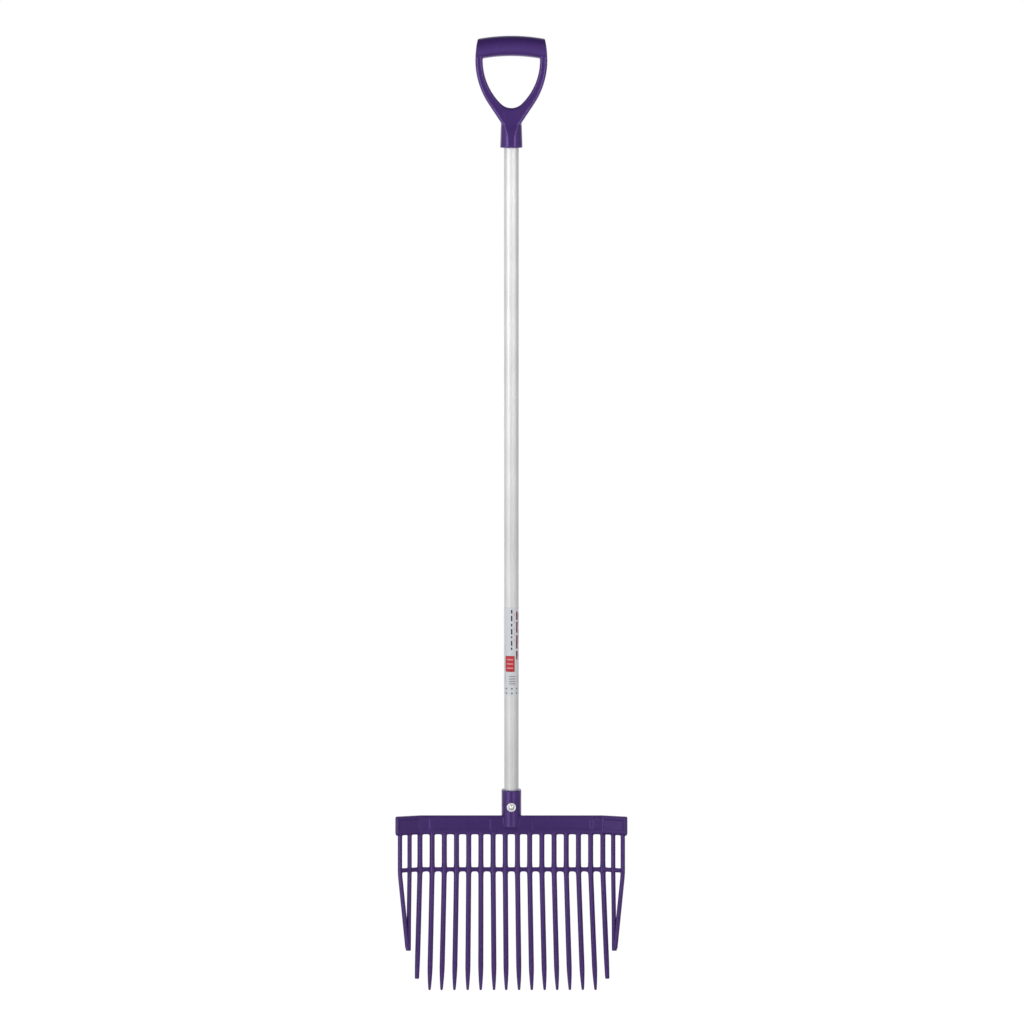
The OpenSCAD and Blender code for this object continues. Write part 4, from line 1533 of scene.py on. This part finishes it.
        return capped_tube(np.concatenate([revolve(inside, 160), np.stack([x, y, z], -1)]))

    def build(self) -> None:
        """Make the three forms and blend them: a fine voxel skin over their union, then a short smooth."""
        raw = mesh_object("d_grip_forms", [self.bar(), self.arms(), self.socket()])
        skin = raw.modifiers.new("skin", "REMESH")
        skin.mode = "VOXEL"
        skin.voxel_size = self.skin_mm * MM
        skin.use_smooth_shade = True
        ease = raw.modifiers.new("ease", "SMOOTH")
        ease.factor = self.skin_ease
        ease.iterations = self.skin_passes
        graph = bpy.context.evaluated_depsgraph_get()
        shaped = bpy.data.meshes.new_from_object(raw.evaluated_get(graph))
        bpy.data.objects.remove(raw)
        piece = bpy.data.objects.new("d_grip_moulding", shaped)
        bpy.context.scene.collection.objects.link(piece)
        self.pieces["grip"] = settle(piece, "purple_moulding", "d_grip")

    def dress(self, plastic: bpy.types.Material) -> None:
        """Give the grip the moulded plastic."""
        paint(self.pieces["grip"], plastic)


@dataclass
class Fasteners:
    """The bolt through the head with its washers and lock nut, and the screw at the back of the grip."""

    # The bolt: shank, thread and domed head with its hexagon recess.
    bolt_d: float = 5.0
    tail_in: float = 0.9
    tail_chamfer: float = 0.8
    thread_pitch: float = 0.8
    thread_depth: float = 0.42
    thread_len: float = 16.0
    thread_step: float = 0.1
    run_out: float = 0.2
    head_d: float = 9.5
    head_h: float = 2.75
    head_edge: float = 0.15
    head_lift: float = 0.12
    key: float = 3.0
    key_depth: float = 1.7
    key_edge: float = 0.12
    key_in: tuple[float, float] = (0.08, 0.1)
    key_cone: float = 0.3
    # The two washers.
    washer_d: float = 15.0
    washer_hole: float = 5.5
    washer_t: float = 1.2
    washer_edge: float = 0.3
    # The lock nut: its hexagon, the cone in degrees that trims the corners, and its collar.
    nut_key: float = 8.0
    nut_hex_h: float = 3.4
    nut_flat: float = 0.97
    nut_cone: float = 30.0
    nut_collar_h: float = 1.6
    collar_d: float = 7.4
    collar_edge: tuple[float, float] = (0.35, 0.4)
    ring_d: float = 6.4
    hole_d: float = 5.1
    # The grip screw: its tapering thread, pan head and cross recess.
    screw_d: float = 3.9
    screw_len: float = 13.0
    screw_pitch: float = 1.4
    screw_thread: float = 0.5
    screw_step: float = 0.12
    screw_point: float = 0.25
    screw_taper: float = 0.55
    screw_head_d: float = 7.6
    screw_head_h: float = 2.4
    pan_edge: tuple[float, float] = (0.1, 0.15)
    pan_draft: float = 0.05
    pan_share: float = 0.5
    pan_round: float = 0.97
    cross: float = 4.0
    cross_wall: float = 0.35
    cross_depth: float = 1.4
    cross_rise: float = 0.5
    slot: float = 1.0
    slot_wall: float = 0.2
    segments: int = 72
    pieces: dict[str, bpy.types.Object] = field(default_factory=dict, init=False)

    def hexagon(self, across: float) -> np.ndarray:
        """Give a hexagon's radius at each angle of a ring: half its width over the cosine within a side."""
        turn = np.linspace(0, 360, self.segments, endpoint=False)
        return across / 2 / np.cos(np.radians((turn + 30) % 60 - 30))

    def rings(self, rows: list[tuple[np.ndarray | float, np.ndarray | float]]) -> np.ndarray:
        """Stack rings about Z: a ring of radius r and height z is (r cos t, r sin t, z).

        Args:
            rows: A radius and a height for each ring, which may change with the angle.

        Returns:
            Rings with the shape (rows, segments, 3).
        """
        turn = np.linspace(0, 2 * np.pi, self.segments, endpoint=False)
        r = np.stack([np.broadcast_to(row[0], turn.shape) for row in rows])
        z = np.stack([np.broadcast_to(row[1], turn.shape) for row in rows])
        return np.stack([r * np.cos(turn), r * np.sin(turn), z], -1)

    def bolt(self, seat: float, tail: float) -> Surface:
        """Make the bolt along Z: a threaded shank and a domed head with a hexagon recess.

        The thread's radius falls by its depth times a triangle wave of height / pitch - angle / turn. The
        dome is a sphere's cap, drawn from its round edge in to the hexagon's edge.

        Args:
            seat: Height of the underside of the head.
            tail: Height of the shank's end.

        Returns:
            The closed surface.
        """
        turn = np.linspace(0, 1, self.segments, endpoint=False)
        r, out, edge = self.bolt_d / 2, self.head_d / 2, self.head_edge
        rows = [(r - self.tail_in, tail)]
        for z in np.arange(tail + HAIR, tail + self.thread_len, self.thread_step):
            wave = np.abs(((z - tail) / self.thread_pitch - turn) % 1 * 2 - 1)
            rows.append((np.minimum(r - self.thread_depth * wave, r - self.tail_chamfer + (z - tail)), z))
        rows += [(r, tail + self.thread_len + self.run_out), (r, seat - HAIR),
                 (out - edge, seat), (out, seat + edge)]
        big = (out ** 2 + self.head_h ** 2) / (2 * self.head_h)
        rim = self.hexagon(self.key)
        for q in np.linspace(0.04, 1, 12):
            ring = out + (rim - out) * q
            dome = seat + self.head_h - big + np.sqrt(big ** 2 - ring ** 2)
            rows.append((ring, dome + self.head_lift * (1 - q)))
        floor = seat + self.head_h - self.key_depth
        rows += [(rim - self.key_in[0], rows[-1][1] - self.key_edge), (rim - self.key_in[1], floor),
                 (self.key_cone, floor - self.key_cone)]
        return capped_tube(self.rings(rows))

    def washer(self, inner: float) -> Surface:
        """Turn a flat washer about Z: a rectangle with four rounded corners.

        Args:
            inner: Height of its lower face.

        Returns:
            The closed surface.
        """
        e, t = self.washer_edge, self.washer_t
        out, hole = self.washer_d / 2, self.washer_hole / 2
        profile = np.concatenate([
            arc((out - e, inner + e), e, -90, 0, 5), arc((out - e, inner + t - e), e, 0, 90, 5),
            arc((hole + e, inner + t - e), e, 90, 180, 5), arc((hole + e, inner + e), e, 180, 270, 5)])
        return closed_loop(revolve(profile, self.segments))

    def nut(self, top: float) -> Surface:
        """Make the lock nut along Z: a hexagon whose corners a cone trims, then a round collar.

        The trim at an angle is how far the hexagon stands out past a circle just within its flats, times
        the cone's slope.

        Args:
            top: Height of the face that lies on the washer.

        Returns:
            The closed surface.
        """
        side = self.hexagon(self.nut_key)
        flat = self.nut_key / 2 * self.nut_flat
        hole, ring, collar = self.hole_d / 2, self.ring_d / 2, self.collar_d / 2
        edge_in, edge_h = self.collar_edge
        trim = np.maximum(side - flat, 0) * math.tan(math.radians(self.nut_cone))
        shelf, low = top - self.nut_hex_h, top - self.nut_hex_h - self.nut_collar_h
        rows = [(hole, top), (flat, top), (side, top - trim), (side, shelf + trim), (flat, shelf),
                (collar, shelf), (collar, low + edge_h), (collar - edge_in, low), (ring, low),
                (ring, shelf), (hole, shelf)]
        return closed_loop(self.rings(rows))

    def screw(self, seat: float) -> Surface:
        """Make the grip screw along Z: a tapering thread and a pan head with a cross recess.

        The head is a grid of radius and angle; where the grid lies in one of the cross's two slots the
        height drops by the recess's depth, which shallows towards the ends of the slots.

        Args:
            seat: Height of the underside of the head.

        Returns:
            The closed surface.
        """
        turn = np.linspace(0, 1, self.segments, endpoint=False)
        r, tail, rows = self.screw_d / 2, seat - self.screw_len, []
        for z in np.arange(tail, seat, self.screw_step):
            wave = np.abs(((z - tail) / self.screw_pitch - turn) % 1 * 2 - 1)
            cone = self.screw_point + (z - tail) * self.screw_taper
            rows.append((np.minimum(r - self.screw_thread * wave, cone), z))
        out, high, share = self.screw_head_d / 2, self.screw_head_h, self.pan_share
        rows += [(out - self.pan_edge[0], seat), (out, seat + self.pan_edge[1]),
                 (out - self.pan_draft, seat + share * high)]
        angle = 2 * np.pi * turn
        for q in np.linspace(0.93, 0.04, 34):
            ring = out * q
            x, y = ring * np.cos(angle), ring * np.sin(angle)
            near = np.minimum(np.abs(x), np.abs(y))
            across = smooth_step((self.slot / 2 + self.slot_wall / 2 - near) / self.slot_wall)
            cut = across * smooth_step((self.cross / 2 - ring) / self.cross_wall + 0.5)
            dome = seat + high * (share + (1 - share) * math.sqrt(1 - (q / self.pan_round) ** 2))
            rows.append((ring, dome - cut * self.cross_depth * (1 - self.cross_rise * ring / out)))
        return capped_tube(self.rings(rows))

    def turned(self, surface: Surface, height: float, front: bool) -> Surface:
        """Lay a piece that was made along Z along the bolt: its +Z then points to the front or the back.

        Args:
            surface: The piece, made about the Z axis.
            height: Height of its axis on the fork.
            front: Whether +Z turns to the front.

        Returns:
            The same piece in its place.
        """
        x, y, z = surface.points.T
        sign = 1 if front else -1
        placed = np.stack([x, -sign * z, sign * y + height], -1)
        return Surface(placed, surface.quads, surface.fans).outward()

    def build(self) -> None:
        """Make each fastener where its CAD node is."""
        bolt, washer, screw = (node_box(n) for n in ("head_bolt", "bolt_washer_front", "grip_screw"))
        bolt_z, screw_z = bolt[:, 2].mean(), screw[:, 2].mean()
        seat = -washer[0, 1]
        made = {
            "head_bolt": self.turned(self.bolt(seat, -bolt[1, 1]), bolt_z, True),
            "bolt_washer_front": self.turned(self.washer(seat - self.washer_t), bolt_z, True),
            "bolt_washer_rear": self.turned(self.washer(-seat), bolt_z, True),
            "lock_nut": self.turned(self.nut(-seat), bolt_z, True),
            "grip_screw": self.turned(self.screw(screw[1, 1] - self.screw_head_h), screw_z, False)}
        for node, surface in made.items():
            self.pieces[node] = settle(mesh_object("zinc_" + node, [surface]), "zinc_steel", node)

    def dress(self, steel: bpy.types.Material, bright: bpy.types.Material,
              nylon: bpy.types.Material) -> None:
        """Give the steel pieces their plating, and the nut's ring its nylon.

        Args:
            steel: Material of the washers and the nut.
            bright: Material of the bolt and the screw.
            nylon: Material of the ring, which stays as the CAD node.
        """
        for node, piece in self.pieces.items():
            paint(piece, bright if node in ("head_bolt", "grip_screw") else steel)
        paint(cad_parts["lock_nut_ring"], nylon)


@dataclass(frozen=True)
class Softbox:
    """One soft rectangular lamp.

    Attributes:
        name: Name of the lamp.
        place: Where it stands.
        aim: The point that it faces.
        size: Its width and height.
        power: Its power in watts.
    """

    name: str
    place: tuple[float, float, float]
    aim: tuple[float, float, float]
    size: tuple[float, float]
    power: float

    def build(self) -> None:
        """Add the lamp, turned so that it faces its aim and hidden from the camera."""
        data = bpy.data.lights.new(self.name, "AREA")
        data.shape = "RECTANGLE"
        data.size = self.size[0] * MM
        data.size_y = self.size[1] * MM
        data.energy = self.power
        lamp = bpy.data.objects.new(self.name, data)
        bpy.context.scene.collection.objects.link(lamp)
        way = np.array(self.aim) - np.array(self.place)
        way = way / np.linalg.norm(way)
        lamp.visible_camera = False
        lamp.location = [v * MM for v in self.place]
        lamp.rotation_euler = (math.acos(-way[2]), 0, math.atan2(way[1], way[0]) - math.pi / 2)


@dataclass
class Studio:
    """A pale floor, soft lamps and the camera that looks at the fork's front."""

    # The camera: its place, its pitch in degrees, and its lens as pixels of a square picture.
    camera_x: float = 1.0
    camera_y: float = -4920.0
    camera_z: float = -145.3
    camera_pitch: float = 6.8
    image_px: float = 1024.0
    focal_px: float = 3053.0
    sensor: float = 36.0
    view_end_m: float = 60.0
    floor_half: float = 16000.0
    # The light from all round. Spans are parts of a direction's unit vector: to the back, up or down.
    fill: float = 0.17
    backdrop_from: float = 0.35
    backdrop_full: float = 0.85
    left_backdrop: float = 1.5
    right_backdrop: float = 0.8
    top_share: float = 0.7
    top_span: tuple[float, float] = (0.55, 1.0)
    floor_glow: float = 0.36
    floor_span: tuple[float, float] = (-0.35, -0.05)
    lamps: tuple[Softbox, ...] = (
        Softbox("left_softbox", (-790, -970, -20), (0, 0, -20), (440, 1400), 9.0),
        Softbox("right_softbox", (644, -1071, -20), (0, 0, -20), (380, 1400), 8.0),
        Softbox("left_side_softbox", (-1000, -250, -650), (0, 0, -650), (1100, 1800), 3.6),
        Softbox("right_side_softbox", (1000, -250, -650), (0, 0, -650), (1100, 1800), 2.2),
        Softbox("low_left_softbox", (-517, -797, -1330), (0, 0, -1250), (500, 340), 1.5),
        Softbox("low_right_softbox", (417, -853, -1330), (0, 0, -1250), (420, 340), 1.0),
        Softbox("back_softbox", (700, 2300, -550), (0, 0, -550), (1400, 1700), 8.0))

    def floor(self, level: float) -> None:
        """Lay a flat sheet of paper under the fork; the camera sees it, but it throws no light on the fork.

        Args:
            level: Height of the floor.
        """
        side = np.linspace(-self.floor_half, self.floor_half, 9)
        x, y = np.meshgrid(side, side)
        points = np.stack([x, y, np.full_like(x, level)], -1).reshape(-1, 3)
        sheet = Surface(points, grid_quads(len(side), len(side), ring=False), NO_FANS)
        made = mesh_object("floor", [sheet])
        made.visible_diffuse = False
        made.visible_glossy = False
        paint(made, PaleBackdrop().material())
        made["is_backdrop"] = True

    def surroundings(self) -> None:
        """Light the fork from a pale backdrop and dimly from all round, in front of plain white.

        The backdrop's light grows with the share of a direction that points to the back and is stronger on
        the left than on the right. Less light comes from the ceiling, and light from below stands for what
        a pale floor throws back.
        """
        world = bpy.data.worlds.new("studio")
        bpy.context.scene.world = world
        world.use_nodes = True
        tree = world.node_tree
        way = add_node(tree, "ShaderNodeTexCoord").outputs["Generated"]
        split = add_node(tree, "ShaderNodeSeparateXYZ", inputs={"Vector": way})
        behind = add_node(tree, "ShaderNodeMapRange", {"interpolation_type": "SMOOTHSTEP"}, {
            "Value": split.outputs["Y"], "From Min": self.backdrop_from,
            "From Max": self.backdrop_full}).outputs["Result"]
        side = add_node(tree, "ShaderNodeMapRange", inputs={
            "Value": split.outputs["X"], "From Min": -1.0, "To Min": self.left_backdrop,
            "To Max": self.right_backdrop}).outputs["Result"]
        around = add_node(tree, "ShaderNodeMath", {"operation": "MULTIPLY_ADD"}, {
            0: behind, 1: side, 2: self.fill}).outputs["Value"]
        height = add_node(tree, "ShaderNodeMapRange", {"interpolation_type": "SMOOTHSTEP"}, {
            "Value": split.outputs["Z"], "From Min": self.top_span[0], "From Max": self.top_span[1],
            "To Min": 1.0, "To Max": self.top_share}).outputs["Result"]
        below = add_node(tree, "ShaderNodeMapRange", {"interpolation_type": "SMOOTHSTEP"}, {
            "Value": split.outputs["Z"], "From Min": self.floor_span[0], "From Max": self.floor_span[1],
            "To Min": self.floor_glow, "To Max": 0.0}).outputs["Result"]
        soft = add_node(tree, "ShaderNodeMath", {"operation": "MULTIPLY_ADD"}, {
            0: around, 1: height, 2: below}).outputs["Value"]
        seen = add_node(tree, "ShaderNodeLightPath").outputs["Is Camera Ray"]
        # The sockets 2, 3 and 0 are the plain numbers of a Mix node: both values, and the result.
        strength = add_node(tree, "ShaderNodeMix", inputs={
            "Factor": seen, 2: soft, 3: 1.0}).outputs[0]
        wire(tree, tree.nodes["Background"], {"Color": linear(WHITE), "Strength": strength})

    def camera(self) -> None:
        """Place the camera in front of the fork, above its middle and looking slightly down."""
        data = bpy.data.cameras.new("camera")
        data.sensor_width = self.sensor
        data.lens = self.focal_px / self.image_px * self.sensor
        data.clip_end = self.view_end_m
        camera = bpy.data.objects.new("camera", data)
        bpy.context.scene.collection.objects.link(camera)
        camera.location = [v * MM for v in (self.camera_x, self.camera_y, self.camera_z)]
        camera.rotation_euler = (math.radians(90 - self.camera_pitch), 0, 0)
        bpy.context.scene.camera = camera
        bpy.context.scene.view_settings.view_transform = "Standard"

    def build(self) -> None:
        """Make the camera, floor, surroundings and lamps."""
        self.camera()
        self.floor(float(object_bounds()[0][2]) / MM)
        self.surroundings()
        for lamp in self.lamps:
            lamp.build()


def main() -> None:
    """Build the fork and its studio."""
    logging.basicConfig(level=logging.INFO, format="%(name)s: %(message)s")
    Studio().build()
    plastic = MouldedPolypropylene().material()
    steel = ZincPlatedSteel().material()
    # The bolt and the screw are shinier and a little darker than the washers and the nut.
    bright = ZincPlatedSteel(name="bright_zinc_plated_steel", colour="#F2F2F3", cloud="#E2E2E4",
                             roughness=(0.2, 0.28)).material()
    head, grip, shaft, fasteners = ForkHead(), DGrip(), Shaft(), Fasteners()
    for part in (head, grip, shaft, fasteners):
        part.build()
        for piece in part.pieces.values():
            LOG.info("%s: %d faces", piece.name, len(piece.data.polygons))
    head.dress(plastic)
    grip.dress(plastic)
    shaft.dress(DrawnAluminium().material(), PrintedFilm(), TurnedBirch().material())
    fasteners.dress(steel, bright, NaturalNylon().material())


if __name__ == "__main__":
    main()
